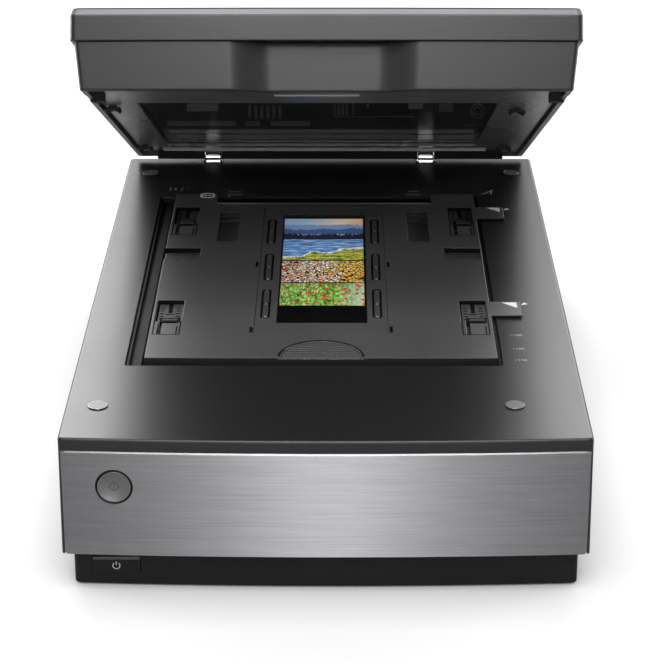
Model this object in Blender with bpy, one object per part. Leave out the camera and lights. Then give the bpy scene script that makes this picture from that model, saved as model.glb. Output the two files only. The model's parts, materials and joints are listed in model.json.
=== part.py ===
"""A flatbed scanner for paper and film, standing with its lid part open.

Metres. +X is to the right seen from the front, +Y to the rear, +Z up. The origin is on the floor under
the middle of the whole machine, lid open at LID_REST. The pieces are laid out in bench coordinates: x from
the middle of the case, y from its front corners, z from the floor. The lid's pieces are laid out as if the
lid were shut, and hang on an empty at the hinge that turns them up to LID_REST.
"""

import math

import bmesh
import bpy
from mathutils import Vector

# clearances
GAP = 0.0003
SLIDE_GAP = 0.0004

# case of the base
CASE_WIDTH = 0.308
CASE_DEPTH = 0.497
CASE_CORNER = 0.003
CASE_FLARE = 0.0006
FRONT_BOW = 0.004
EDGE = 0.0008
LIP_HEIGHT = 0.00765
FASCIA_BAND = 0.06735
COVER_WALL = 0.0022
COVER_PLATE = 0.0025

# tray under the case
TRAY_SHOW = 0.0244
TRAY_INSET = 0.00515
TRAY_SETBACK = 0.009
TRAY_WALL = 0.0025
TRAY_FLOOR = 0.0025
TRAY_RIM = 0.020
FOOT_HEIGHT = 0.001
FOOT_RADIUS = 0.008
FOOT_SEAT = 0.0012
FOOT_INSET = 0.030

# brushed fascia and its two buttons
FASCIA_SHEET = 0.002
FASCIA_BORDER = 0.0011
FASCIA_CHAMFER = 0.0016
START_INSET = 0.0317
START_DROP = 0.0305
START_RADIUS = 0.0098
START_RING = 0.0006
START_DISH = 0.0007
START_LENGTH = 0.0048
POWER_INSET = 0.0303
POWER_DROP = 0.0112
POWER_WIDTH = 0.0284
POWER_HEIGHT = 0.0100
POWER_PROUD = 0.0008
POWER_DEPTH = 0.0060

# well in the top cover, with the glass at its foot
WELL_X = -0.0079
WELL_FRONT = 0.1026
WELL_WIDTH = 0.2328
WELL_LENGTH = 0.3073
WELL_CORNER = 0.002
WELL_DEPTH = 0.0056
WELL_STEP_WIDTH = 0.0022
WELL_STEP_DROP = 0.0018
WELL_LEDGE_WIDTH = 0.0070
WELL_LEDGE = 0.0008
WELL_FLANGE = 0.0060
GLASS = 0.003
GLASS_LAP = 0.005

# round caps on the top cover, each in from the side and the end that its name gives
CAP_RADIUS = 0.006
CAP_PROUD = 0.0010
CAP_SEAT = 0.0012
CAP_INSETS = {
    "front_left": (0.0192, 0.0440),
    "front_right": (0.0424, 0.0451),
    "rear_left": (0.0183, 0.0360),
    "rear_right": (0.0172, 0.0352),
}

# hinges between base and lid
PIVOT_REAR = 0.007
PIVOT_RISE = 0.0011
HINGE_X = {"left": -0.0897, "right": 0.0732}
POST_HALF = 0.0040
POST_NECK = 0.0023
POST_HEAD = 0.0033
POST_LENGTH = 0.054
SOCKET_WALL = 0.0018
SOCKET_LENGTH = 0.051
BRACKET_LEAF = 0.0016
BRACKET_BRIDGE = 0.0014
BRACKET_NECK = 0.0024
PIN_RADIUS = 0.0013
PIN_PROUD = 0.0008
SLOT_MARGIN = 0.0008
SLOT_SWING = 0.0013

# lid
LID_REST = 24.462
LID_GAP = 0.00395
LID_LENGTH = 0.3945
LID_REAR_INSET = 0.0043
LID_HALF = 0.1481
LID_BOW = 0.002
LID_CORNER = 0.006
SKIRT_HEIGHT = 0.0293
SKIRT_FLARE = 0.0033
END_FLARE = 0.0003
SKIRT_WALL = 0.0024
RIM_WIDTH = 0.0045
RIM_ROUND = 0.0015
GRIP_X = -0.0009
GRIP_HALF = 0.0392
GRIP_RAMP = 0.021
GRIP_DEPTH = 0.008
LIP_PROUD = 0.0023
LID_LIP = 0.0150
LID_BEVEL = 0.0050
LID_BEVEL_RUN = 0.0016
LID_SHELL = 0.0028
LID_PLATE_RISE = 0.003
LID_PLATE = 0.002
WINDOW_X = -0.006
WINDOW_WIDTH = 0.230
WINDOW_REAR = 0.048
WINDOW_LENGTH = 0.261
WINDOW_SHEET = 0.002
WINDOW_LAP = 0.004
STOP_SIZE = (0.0076, 0.010)
STOP_DROP = 0.0033
STOP_SETBACK = 0.0255
HOOK_SIZE = (0.0100, 0.0080)
HOOK_DROP = 0.0022
HOOK_SHEET = 0.0016
HOOK_SPOTS = {
    "front_left": (-0.1333, 0.2940),
    "front_right": (0.1180, 0.2820),
    "rear_left": (-0.1370, 0.0570),
    "rear_right": (0.1300, 0.0570),
}
SIDE_NOTCH_LENGTH = 0.034
SIDE_NOTCH_HEIGHT = 0.0018

# light source that runs along the inside of the lid
RAIL_X = 0.1170
RAIL_SIZE = (0.006, 0.004)
RAIL_END_GAP = 0.020
LID_CAR_HOME = 0.080
LID_CAR_LENGTH = 0.030
LID_CAR_HEIGHT = 0.018
LID_LAMP_WIDTH = 0.012
LID_LAMP_HEIGHT = 0.0015
LID_PULLEY_RADIUS = 0.0050
LID_PULLEY_SPAN = 0.325
LID_BELT_RISE = 0.012
LID_MOTOR_RADIUS = 0.009
LID_MOTOR_HEIGHT = 0.016

# scanning carriage in the base
BELT_WIDTH = 0.006
BELT_SHEET = 0.001
CAR_LENGTH = 0.060
CAR_REAR_GAP = 0.025
CAR_TOP_DROP = 0.0130
CAR_SIDE = 0.004
LAMP_WIDTH = 0.010
LAMP_HEIGHT = 0.003
ROD_X = -0.070
ROD_Z = 0.038
ROD_RADIUS = 0.004
BELT_X = 0.060
BELT_Z = 0.032
BELT_TONGUE = 0.005
PULLEY_RADIUS = 0.008
PULLEY_FRONT = 0.032
PULLEY_REAR_GAP = 0.027
HUB_RADIUS = 0.003
PULLEY_FLANGE = 0.0005
MOTOR_RADIUS = 0.017
MOTOR_HEIGHT = 0.025
BOARD_SIZE = (0.105, 0.080, 0.0016)
BOARD_X = -0.072
BOARD_REAR_GAP = 0.022

# sockets on the rear wall
PORT_Z = 0.058
POWER_INLET_X = -0.1180
POWER_INLET = (0.0275, 0.0195, 0.018)
POWER_MOUTH = (0.0240, 0.0160, 0.014)
USB_X = -0.060
USB_SIZE = (0.0120, 0.0110, 0.014)
USB_MOUTH = (0.0084, 0.0078, 0.009)
USB_TONGUE = (0.0056, 0.0030)
OPTION_X = -0.032
OPTION_RADIUS = 0.0070
OPTION_BORE = 0.0046
OPTION_DEPTH = 0.010
OPTION_LENGTH = 0.013
PORT_WALL_LAP = 0.0004

# film holder lying in the well, in from the well's four edges
HOLDER_LEFT_GAP = 0.0116
HOLDER_RIGHT_GAP = 0.0032
HOLDER_FRONT_GAP = 0.0077
HOLDER_REAR_GAP = 0.0009
HOLDER_PROUD = 0.0020
HOLDER_BODY = 0.0061
NOTCH_LEFT = -0.0820
NOTCH_RIGHT = 0.0740
NOTCH_Y = 0.3900
TAB_REACH = 0.0200
TAB_LENGTH = 0.0230
TAB_UNDER = 0.0004
TAB_FRONTS = (0.1785, 0.3586)
FILM_COVER_X = (-0.0465, 0.0385)
FILM_COVER_Y = (0.1500, 0.3795)
FILM_COVER_SHEET = 0.0024
FILM_COVER_DROP = 0.0002
FILM_WINDOW_X = -0.0036
FILM_WINDOW_WIDTH = 0.0584
FILM_WINDOW_Y = (0.1661, 0.3661)
FILM_WIDTH = 0.0615
FILM_LAP = 0.007
FILM_SHEET = 0.0002
ADJUSTER_SIZE = (0.0174, 0.0568)
ADJUSTER_DEPTH = 0.0030
ADJUSTER_INSETS = {
    "front_left": (0.0106, 0.1752),
    "front_right": (0.0110, 0.1752),
    "rear_left": (0.0106, 0.3526),
    "rear_right": (0.0114, 0.3524),
}
SLIDER_WIDTH = 0.0110
SLIDER_BAR = 0.0050
SLIDER_BAR_HEIGHT = 0.0032
SLIDER_PLATE = 0.0215
SLIDER_SHEET = 0.0024
FINGER_SIZE = (0.0250, 0.0220)
FINGER_INSETS = {"left": (0.0119, 0.2880), "right": (0.0133, 0.2882)}
FINGER_DEPTH = 0.0034
GUIDE_SIZE = (0.0150, 0.0592)
GUIDE_SPOTS = ((-0.0709, 0.3415), (0.0628, 0.3415))
GUIDE_DEPTH = 0.0032
CATCH_SLOTS = ((-0.0484, 0.2687), (0.0406, 0.2685), (-0.0484, 0.1550), (0.0406, 0.1552))
CATCH_SIZE = (0.0020, 0.0100)
CLIP_X = (-0.0403, 0.0321)
CLIP_Y = (0.3327, 0.2643, 0.1992)
CLIP_SIZE = (0.0066, 0.0500)
CLIP_DEPTH = 0.0008
THUMB_X = -0.0036
THUMB_RADIUS = 0.0265
THUMB_DEPTH = 0.0007

# levels and lines that follow from the sizes above
Z_COVER = FOOT_HEIGHT + TRAY_SHOW
Z_LIP = Z_COVER + FASCIA_BAND
Z_TOP = Z_LIP + LIP_HEIGHT
Z_GLASS = Z_TOP - WELL_DEPTH
Z_FLOOR = FOOT_HEIGHT + TRAY_FLOOR
Z_RIM = Z_TOP + LID_GAP
Z_HOLDER = Z_TOP + HOLDER_PROUD
PIVOT = Vector((0, CASE_DEPTH - PIVOT_REAR, Z_TOP + PIVOT_RISE))
LID_REAR = CASE_DEPTH - LID_REAR_INSET
LID_FRONT = LID_REAR - LID_LENGTH
LID_TOP = SKIRT_HEIGHT + GAP + LID_LIP + LID_BEVEL
LID_LIP_OUT = (SKIRT_FLARE + LIP_PROUD, END_FLARE + LIP_PROUD)
LID_TOP_OUT = (LID_LIP_OUT[0] - LID_BEVEL_RUN, LID_LIP_OUT[1] - LID_BEVEL_RUN)
WALL_FRONT = FASCIA_SHEET + GAP
START_X = START_INSET - CASE_WIDTH / 2
POWER_X = POWER_INSET - CASE_WIDTH / 2
STOP_L = LID_LENGTH - STOP_SETBACK - STOP_SIZE[1]
RAIL_LENGTH = LID_LENGTH - 2 * RAIL_END_GAP
LID_PULLEY_REAR = (LID_LENGTH - LID_PULLEY_SPAN) / 2
PULLEY_REAR = CASE_DEPTH - PULLEY_REAR_GAP
CAR_HOME = CASE_DEPTH - CAR_REAR_GAP - CAR_LENGTH
BOARD_SPOT = (BOARD_X, CASE_DEPTH - BOARD_REAR_GAP - BOARD_SIZE[1] / 2)
WELL = (WELL_X - WELL_WIDTH / 2, WELL_X + WELL_WIDTH / 2, WELL_FRONT, WELL_FRONT + WELL_LENGTH)
HOLDER_LEFT = WELL[0] + HOLDER_LEFT_GAP
HOLDER_RIGHT = WELL[1] - HOLDER_RIGHT_GAP
HOLDER_FRONT = WELL[2] + HOLDER_FRONT_GAP
HOLDER_REAR = WELL[3] - HOLDER_REAR_GAP
LID_TILT = math.radians(LID_REST)


def turned_up(y, z):
    """A point of the shut lid, y and z, where it is with the lid at LID_REST."""
    back, up = y - PIVOT.y, z - PIVOT.z
    c, s = math.cos(LID_TILT), math.sin(LID_TILT)
    return PIVOT.y + back * c + up * s, PIVOT.z - back * s + up * c


def from_sides(insets, left, right):
    """Spots from insets: x in from the left or right that the name ends in, y as given."""
    return {name: (left + x if name.endswith("left") else right - x, y) for name, (x, y) in insets.items()}


def from_ends(spots, rear):
    """The same spots, with y in from the rear where the name starts with rear."""
    return {name: (x, rear - y if name.startswith("rear") else y) for name, (x, y) in spots.items()}


CAP_SPOTS = from_ends(from_sides(CAP_INSETS, -CASE_WIDTH / 2, CASE_WIDTH / 2), CASE_DEPTH)
ADJUSTER_SPOTS = from_sides(ADJUSTER_INSETS, HOLDER_LEFT, HOLDER_RIGHT)
FINGER_SPOTS = from_sides(FINGER_INSETS, HOLDER_LEFT, HOLDER_RIGHT)
REAR_REACH = max(
    turned_up(LID_REAR + LID_LIP_OUT[1], Z_RIM + LID_TOP - LID_BEVEL)[0],
    turned_up(LID_REAR + LID_TOP_OUT[1], Z_RIM + LID_TOP)[0],
)
MID_Y = (REAR_REACH - FRONT_BOW) / 2


# ---------------------------------------------------------------- outlines and solids

def arc(cx, cy, radius, start, end, steps):
    """Points on an arc from start to end, in degrees."""
    angles = [math.radians(start + (end - start) * i / steps) for i in range(steps + 1)]
    return [(cx + radius * math.cos(a), cy + radius * math.sin(a)) for a in angles]


def bowed(x, half, bow):
    """How far a front edge that bows by bow stands forward at x."""
    return bow * (1 - (x / half) ** 2)


def outline(x0, x1, y0, y1, radius, bow=0.0, stations=(), dent=None):
    """Rounded rectangle, anticlockwise from the front left, with a bowed and dented front edge."""
    mid, half = (x0 + x1) / 2, (x1 - x0) / 2 - radius
    xs = [x0 + radius, *stations, x1 - radius]
    front = [(x, y0 - bowed(x - mid, half, bow) + (dent(x) if dent else 0)) for x in xs]
    corners = arc(x1 - radius, y0 + radius, radius, -90, 0, 3)[1:]
    corners += arc(x1 - radius, y1 - radius, radius, 0, 90, 3)
    corners += arc(x0 + radius, y1 - radius, radius, 90, 180, 3)
    corners += arc(x0 + radius, y0 + radius, radius, 180, 270, 3)[:-1]
    return front + corners


def at_height(points, z):
    return [(x, y, z) for x, y in points]


def loft(sections, close=False):
    """Skin a stack of outlines with equal point counts; both ends are capped unless it closes on itself."""
    n, m = len(sections[0]), len(sections)
    verts = [p for section in sections for p in section]
    faces = []
    for i in range(m if close else m - 1):
        a, b = i * n, (i + 1) % m * n
        faces += [(a + j, a + (j + 1) % n, b + (j + 1) % n, b + j) for j in range(n)]
    if not close:
        faces += [tuple(range(n)), tuple(range((m - 1) * n, m * n))]
    return verts, faces


def block(x, y, z):
    """A box from its three spans."""
    base = [(x[0], y[0]), (x[1], y[0]), (x[1], y[1]), (x[0], y[1])]
    return loft([at_height(base, z[0]), at_height(base, z[1])])


def centred(x, y, size):
    """Spans in x and y of a rectangle with its middle at x, y."""
    return (x - size[0] / 2, x + size[0] / 2), (y - size[1] / 2, y + size[1] / 2)


def prism_x(points, x):
    """A solid with the outline points, in y and z, between two values of x."""
    return loft([[(value, y, z) for y, z in points] for value in x])


def prism_y(points, y):
    """A solid with the outline points, in x and z, between two values of y."""
    return loft([[(x, value, z) for x, z in points] for value in y])


def prism_z(points, z):
    """A solid with the outline points, in x and y, between two values of z."""
    return loft([at_height(points, value) for value in z])


def turned(profile, centre, axis="Z", sides=24, close=False):
    """A lathe form: profile holds (radius, height along the axis); close makes it a ring."""
    cx, cy, cz = centre
    sections = []
    for radius, height in profile:
        ring = arc(0, 0, radius, 0, 360, sides)[:-1]
        if axis == "Z":
            sections.append([(cx + u, cy + v, cz + height) for u, v in ring])
        elif axis == "Y":
            sections.append([(cx + u, cy + height, cz + v) for u, v in ring])
        else:
            sections.append([(cx + height, cy + u, cz + v) for u, v in ring])
    return loft(sections, close)


def joined(*shapes):
    """Several separate shapes as one, for a cutter."""
    verts, faces = [], []
    for more, loops in shapes:
        start = len(verts)
        verts += more
        faces += [tuple(start + i for i in loop) for loop in loops]
    return verts, faces


# ---------------------------------------------------------------- materials and objects

FINISHES = {
    "dark_cover": ((0.060, 0.060, 0.063), 0.32, 0.35),
    "black_plastic": ((0.012, 0.012, 0.013), 0.45, 0.0),
    "brushed_metal": ((0.42, 0.42, 0.44), 0.34, 0.9),
    "silver_button": ((0.50, 0.50, 0.52), 0.30, 0.8),
    "lid_paint": ((0.085, 0.085, 0.088), 0.40, 0.2),
    "satin_black": ((0.022, 0.022, 0.023), 0.50, 0.0),
    "chrome": ((0.80, 0.80, 0.80), 0.12, 1.0),
    "steel": ((0.55, 0.55, 0.56), 0.28, 1.0),
    "clear_glass": ((0.75, 0.80, 0.80), 0.05, 0.0),
    "smoked_glass": ((0.10, 0.10, 0.11), 0.08, 0.0),
    "rubber": ((0.020, 0.020, 0.020), 0.80, 0.0),
    "holder_plastic": ((0.045, 0.045, 0.047), 0.55, 0.0),
    "film": ((0.18, 0.20, 0.12), 0.20, 0.0),
    "lamp_white": ((0.85, 0.85, 0.82), 0.40, 0.0),
    "board_green": ((0.02, 0.10, 0.04), 0.50, 0.0),
}


def finish(name):
    """The Principled material of that name, made once."""
    if name in bpy.data.materials:
        return bpy.data.materials[name]
    colour, roughness, metallic = FINISHES[name]
    material = bpy.data.materials.new(name)
    material.use_nodes = True
    shader = material.node_tree.nodes["Principled BSDF"]
    shader.inputs["Base Color"].default_value = (*colour, 1.0)
    shader.inputs["Roughness"].default_value = roughness
    shader.inputs["Metallic"].default_value = metallic
    return material


def new_object(name, shape, origin, stand):
    """A mesh object with its origin at a bench point, standing on the bench or in the lid."""
    empty, foot = stand
    mesh = bpy.data.meshes.new(name)
    mesh.from_pydata([Vector(v) - origin for v in shape[0]], [], shape[1])
    shaped = bmesh.new()
    shaped.from_mesh(mesh)
    bmesh.ops.recalc_face_normals(shaped, faces=shaped.faces)
    shaped.to_mesh(mesh)
    shaped.free()
    made = bpy.data.objects.new(name, mesh)
    bpy.context.scene.collection.objects.link(made)
    made.parent = empty
    made.location = origin - foot
    return made


def piece(name, shape, material, stand, origin=None, cuts=(), round_piece=False):
    """One sub-part: its solid less its cuts, in its own material."""
    origin = Vector(origin) if origin else stand[1].copy()
    made = new_object(name, shape, origin, stand)
    made.data.materials.append(finish(material))
    if round_piece:
        made.data.shade_smooth()
        made.data.set_sharp_from_angle(angle=math.radians(35))
    if cuts:
        cutter = new_object(name + "_cutter", joined(*cuts), origin, stand)
        cutter.hide_render = True
        cutter.display_type = "WIRE"
        cutting = made.modifiers.new("cuts", "BOOLEAN")
        cutting.operation = "DIFFERENCE"
        cutting.solver = "EXACT"
        cutting.use_self = len(cuts) > 1
        cutting.object = cutter
    return made


def new_empty(name, location, parent=None):
    empty = bpy.data.objects.new(name, None)
    bpy.context.scene.collection.objects.link(empty)
    empty.location = location
    empty.parent = parent
    return empty


# ---------------------------------------------------------------- base

OUT = 0.03


def front_stations():
    """Places along the front edge where its bow is drawn."""
    return [CASE_WIDTH * (i / 12 - 0.5) * 0.96 for i in range(1, 12)]


def case_outline(side, ends):
    """The case's outline, grown by side in x and by ends in y."""
    half = CASE_WIDTH / 2 + side
    return outline(-half, half, -ends, CASE_DEPTH + ends, CASE_CORNER, FRONT_BOW, front_stations())


def tray_outline(grow):
    """The outline of the tray's visible band."""
    half = CASE_WIDTH / 2 - TRAY_INSET + grow
    rear = CASE_DEPTH - TRAY_SETBACK + grow
    return outline(-half, half, TRAY_SETBACK - grow, rear, CASE_CORNER + grow, FRONT_BOW, front_stations())


def rim_outline(grow):
    """The outline of the tray's rim, which fills the case from inside."""
    half = CASE_WIDTH / 2 - COVER_WALL - GAP + grow
    rear = CASE_DEPTH - COVER_WALL - GAP + grow
    return outline(-half, half, WALL_FRONT - grow, rear, CASE_CORNER, FRONT_BOW, front_stations())


def case_bow(x):
    """How far the case's front stands forward at x."""
    return bowed(x, CASE_WIDTH / 2 - CASE_CORNER, FRONT_BOW)


def foot_spots():
    side, rear = CASE_WIDTH / 2 - FOOT_INSET, CASE_DEPTH - FOOT_INSET
    return {
        "front_left": (-side, FOOT_INSET),
        "front_right": (side, FOOT_INSET),
        "rear_left": (-side, rear),
        "rear_right": (side, rear),
    }


def start_centre():
    return START_X, -case_bow(START_X), Z_TOP - START_DROP


def power_centre():
    return POWER_X, TRAY_SETBACK - case_bow(POWER_X), Z_COVER - POWER_DROP


def make_tray(bench):
    """Black tray that carries everything, with a tall front wall behind the fascia."""
    top = Z_LIP - GAP
    shell = loft([
        at_height(tray_outline(-EDGE), FOOT_HEIGHT),
        at_height(tray_outline(0), FOOT_HEIGHT + EDGE),
        at_height(tray_outline(0), Z_COVER - GAP),
        at_height(rim_outline(0), Z_COVER - GAP),
        at_height(rim_outline(0), top),
    ])
    low = [at_height(tray_outline(-TRAY_WALL), z) for z in (Z_FLOOR, top + OUT)]
    high = [at_height(rim_outline(-TRAY_WALL), z) for z in (Z_COVER + TRAY_WALL, top + OUT)]
    behind = (WALL_FRONT + TRAY_WALL, CASE_DEPTH + OUT)
    trim = block((-CASE_WIDTH, CASE_WIDTH), behind, (Z_COVER + TRAY_RIM, top + OUT))
    x, y, z = start_centre()
    bore = START_RADIUS + START_RING + 2 * GAP
    hole = turned([(bore, -OUT), (bore, OUT)], (x, y, z), "Y")
    px, py, pz = power_centre()
    room = (POWER_WIDTH / 2 + GAP, POWER_HEIGHT / 2 + GAP)
    slot_y = (py - OUT, py + POWER_DEPTH + OUT)
    slot = block((px - room[0], px + room[0]), slot_y, (pz - room[1], pz + room[1]))
    seats = [
        turned([(FOOT_RADIUS + GAP, 0), (FOOT_RADIUS + GAP, FOOT_HEIGHT + FOOT_SEAT)], (fx, fy, 0))
        for fx, fy in foot_spots().values()
    ]
    piece("base_tray", shell, "black_plastic", bench, cuts=[loft(low), loft(high), trim, hole, slot, *seats])
    for name, (fx, fy) in foot_spots().items():
        profile = [(FOOT_RADIUS - EDGE, 0), (FOOT_RADIUS, EDGE), (FOOT_RADIUS, FOOT_HEIGHT + FOOT_SEAT - GAP)]
        foot = turned(profile, (fx, fy, 0))
        piece("foot_" + name, foot, "rubber", bench, round_piece=True)


def port_holes():
    """Openings in the rear wall, each a gap larger than the socket in it."""
    wall = (CASE_DEPTH - COVER_WALL - GAP, CASE_DEPTH + OUT)
    holes = []
    for x, size in ((POWER_INLET_X, POWER_INLET), (USB_X, USB_SIZE)):
        xs, zs = centred(x, PORT_Z, (size[0] + 2 * GAP, size[1] + 2 * GAP))
        holes.append(block(xs, wall, zs))
    option = [(OPTION_RADIUS + GAP, 0), (OPTION_RADIUS + GAP, wall[1] - wall[0])]
    holes.append(turned(option, (OPTION_X, wall[0], PORT_Z), "Y"))
    return holes


def slot_spans(x):
    """The hole in the top cover for the hinge at x."""
    across = POST_HALF + SLIDE_GAP + BRACKET_LEAF + PIN_PROUD + SLOT_MARGIN
    along = POST_HEAD + SLOT_SWING
    return (x - across, x + across), (PIVOT.y - along, PIVOT.y + along)


def make_cover(bench):
    """Dark upper case: top plate, front lip and side and rear walls in one moulding."""
    shell = loft([
        at_height(case_outline(CASE_FLARE, 0), Z_COVER),
        at_height(case_outline(0, 0), Z_LIP),
        at_height(case_outline(0, 0), Z_TOP - EDGE),
        at_height(case_outline(-EDGE, -EDGE), Z_TOP),
    ])
    half = CASE_WIDTH / 2 - COVER_WALL
    room = block((-half, half), (WALL_FRONT - EDGE, CASE_DEPTH - COVER_WALL), (-OUT, Z_TOP - COVER_PLATE))
    border = CASE_WIDTH / 2 - FASCIA_BORDER
    rabbet = block((-border, border), (-OUT, WALL_FRONT), (-OUT, Z_LIP))
    well = prism_z(outline(*WELL, WELL_CORNER), (Z_LIP - OUT, Z_TOP + OUT))
    cuts = [room, rabbet, well, *port_holes()]
    for x, y in CAP_SPOTS.values():
        cuts.append(turned([(CAP_RADIUS + GAP, -CAP_SEAT), (CAP_RADIUS + GAP, OUT)], (x, y, Z_TOP)))
    for x in HINGE_X.values():
        cuts.append(block(*slot_spans(x), (Z_LIP, Z_TOP + OUT)))
    piece("top_cover", shell, "dark_cover", bench, cuts=cuts)


def make_caps(bench):
    """Four domed caps pressed into the top cover."""
    for name, (x, y) in CAP_SPOTS.items():
        low = GAP - CAP_SEAT
        dome = [(CAP_RADIUS, low), (CAP_RADIUS, 0.3 * CAP_PROUD), (0.86 * CAP_RADIUS, 0.75 * CAP_PROUD)]
        dome += [(0.5 * CAP_RADIUS, 0.96 * CAP_PROUD), (0.1 * CAP_RADIUS, CAP_PROUD)]
        piece("cap_" + name, turned(dome, (x, y, Z_TOP)), "silver_button", bench, round_piece=True)


def make_fascia(bench):
    """Brushed metal sheet, bowed like the case, let in between the side walls."""
    half = CASE_WIDTH / 2 - FASCIA_BORDER - GAP
    xs = [half * (i / 7 - 1) for i in range(15)]

    def section(back, z):
        front = [(x, back - case_bow(x), z) for x in xs]
        rear = [(x, FASCIA_SHEET - case_bow(x), z) for x in reversed(xs)]
        return front + rear

    top = Z_LIP - GAP
    sheet = loft([section(0, Z_COVER), section(0, top - FASCIA_CHAMFER), section(FASCIA_CHAMFER * 0.7, top)])
    radius = START_RADIUS + START_RING + 2 * GAP
    hole = turned([(radius, -OUT), (radius, OUT)], start_centre(), "Y", 32)
    piece("front_fascia", sheet, "brushed_metal", bench, cuts=[hole])


def make_start_button(bench):
    """Round start button with a dished face, in a thin ring; it is pushed in towards the rear."""
    x, y, z = start_centre()
    outer = START_RADIUS + START_RING + GAP
    face = y - 0.5 * EDGE
    ring = [(outer - START_RING, 0), (outer - 0.3 * START_RING, 0), (outer, 0.5 * EDGE)]
    ring += [(outer, START_LENGTH - EDGE), (outer - START_RING, START_LENGTH - EDGE)]
    body = turned(ring, (x, face, z), "Y", 32, close=True)
    piece("start_ring", body, "satin_black", bench, round_piece=True)
    radius = START_RADIUS
    dish = [(0.08 * radius, START_DISH), (0.5 * radius, 0.75 * START_DISH), (0.85 * radius, 0.2 * START_DISH)]
    dish += [(radius - 0.4 * EDGE, 0), (radius, 0.4 * EDGE), (radius, START_LENGTH)]
    button = turned(dish, (x, face, z), "Y", 32)
    piece("start_button", button, "silver_button", bench, origin=(x, y, z), round_piece=True)


def make_power_button(bench):
    """Black push button with a sloping top edge, in the tray's front."""
    x, y, z = power_centre()
    half = POWER_HEIGHT / 2
    front = y - POWER_PROUD
    side = [
        (front, z - half), (y + POWER_DEPTH, z - half), (y + POWER_DEPTH, z + half),
        (front + 2 * EDGE, z + half), (front, z + half - 2 * EDGE),
    ]
    body = prism_x(side, (x - POWER_WIDTH / 2, x + POWER_WIDTH / 2))
    piece("power_button", body, "black_plastic", bench, origin=(x, y, z))


def make_glass(bench):
    """Platen glass, and the stepped frame that holds its edges down and lines the well."""
    lines = {
        "out": -WELL_FLANGE, "wall": GAP, "step": WELL_STEP_WIDTH, "in": WELL_STEP_WIDTH + WELL_LEDGE_WIDTH,
    }

    def ring(inset, z):
        x0, x1, y0, y1 = WELL
        radius = max(WELL_CORNER - inset, 0.0004)
        return at_height(outline(x0 + inset, x1 - inset, y0 + inset, y1 - inset, radius), z)

    under = Z_TOP - COVER_PLATE - GAP
    foot = Z_GLASS + GAP
    ledge = foot + WELL_LEDGE
    step = Z_TOP - WELL_STEP_DROP
    frame = loft([
        ring(lines["out"], foot), ring(lines["out"], under),
        ring(lines["wall"], under), ring(lines["wall"], step),
        ring(lines["step"], step), ring(lines["step"], ledge),
        ring(lines["in"], ledge), ring(lines["in"], foot),
    ], close=True)
    piece("glass_frame", frame, "satin_black", bench)
    x0, x1, y0, y1 = WELL
    lap = lines["in"] - GLASS_LAP
    pane = block((x0 + lap, x1 - lap), (y0 + lap, y1 - lap), (Z_GLASS - GLASS, Z_GLASS))
    piece("platen_glass", pane, "clear_glass", bench)


def make_ports(bench):
    """Mains inlet, data socket and accessory socket, let into the rear wall."""
    rear = CASE_DEPTH - PORT_WALL_LAP
    xs, zs = centred(POWER_INLET_X, PORT_Z, POWER_INLET)
    mouth_x, mouth_z = centred(POWER_INLET_X, PORT_Z, POWER_MOUTH)
    cavity = block(mouth_x, (rear - POWER_MOUTH[2], rear + OUT), mouth_z)
    piece("power_inlet", block(xs, (rear - POWER_INLET[2], rear), zs), "black_plastic", bench, cuts=[cavity])
    xs, zs = centred(USB_X, PORT_Z, USB_SIZE)
    mouth_x, mouth_z = centred(USB_X, PORT_Z, USB_MOUTH)
    tongue_x, tongue_z = centred(USB_X, PORT_Z, USB_TONGUE)
    deep = rear - USB_MOUTH[2]
    around = [
        block(mouth_x, (deep, rear + OUT), (tongue_z[1], mouth_z[1])),
        block(mouth_x, (deep, rear + OUT), (mouth_z[0], tongue_z[0])),
        block((mouth_x[0], tongue_x[0]), (deep, rear + OUT), mouth_z),
        block((tongue_x[1], mouth_x[1]), (deep, rear + OUT), mouth_z),
    ]
    piece("usb_port", block(xs, (rear - USB_SIZE[2], rear), zs), "steel", bench, cuts=around)
    cup = [(OPTION_RADIUS, -OPTION_LENGTH), (OPTION_RADIUS, 0), (OPTION_BORE, 0), (OPTION_BORE, -OPTION_DEPTH)]
    piece("option_port", turned(cup, (OPTION_X, rear, PORT_Z), "Y"), "satin_black", bench, round_piece=True)


def stadium(x, y0, y1, radius):
    """The outline of a belt round two pulleys in line along y."""
    return arc(x, y0, radius, 180, 360, 8) + arc(x, y1, radius, 0, 180, 8)


def belt(x, y0, y1, radius, z):
    """A flat belt standing on edge round two pulleys of that radius."""
    inner = stadium(x, y0, y1, radius + GAP)
    outer = stadium(x, y0, y1, radius + GAP + BELT_SHEET)
    low, high = z, z + BELT_WIDTH
    ring = [at_height(inner, low), at_height(outer, low), at_height(outer, high), at_height(inner, high)]
    return loft(ring, close=True)


def pulley(x, y, z, radius, hub_foot):
    """A belt pulley with its hub running down to hub_foot."""
    low, high = z - PULLEY_FLANGE, z + BELT_WIDTH + PULLEY_FLANGE
    profile = [(HUB_RADIUS, hub_foot), (HUB_RADIUS, low), (radius, low), (radius, high)]
    return turned(profile, (x, y, 0), sides=20)


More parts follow.
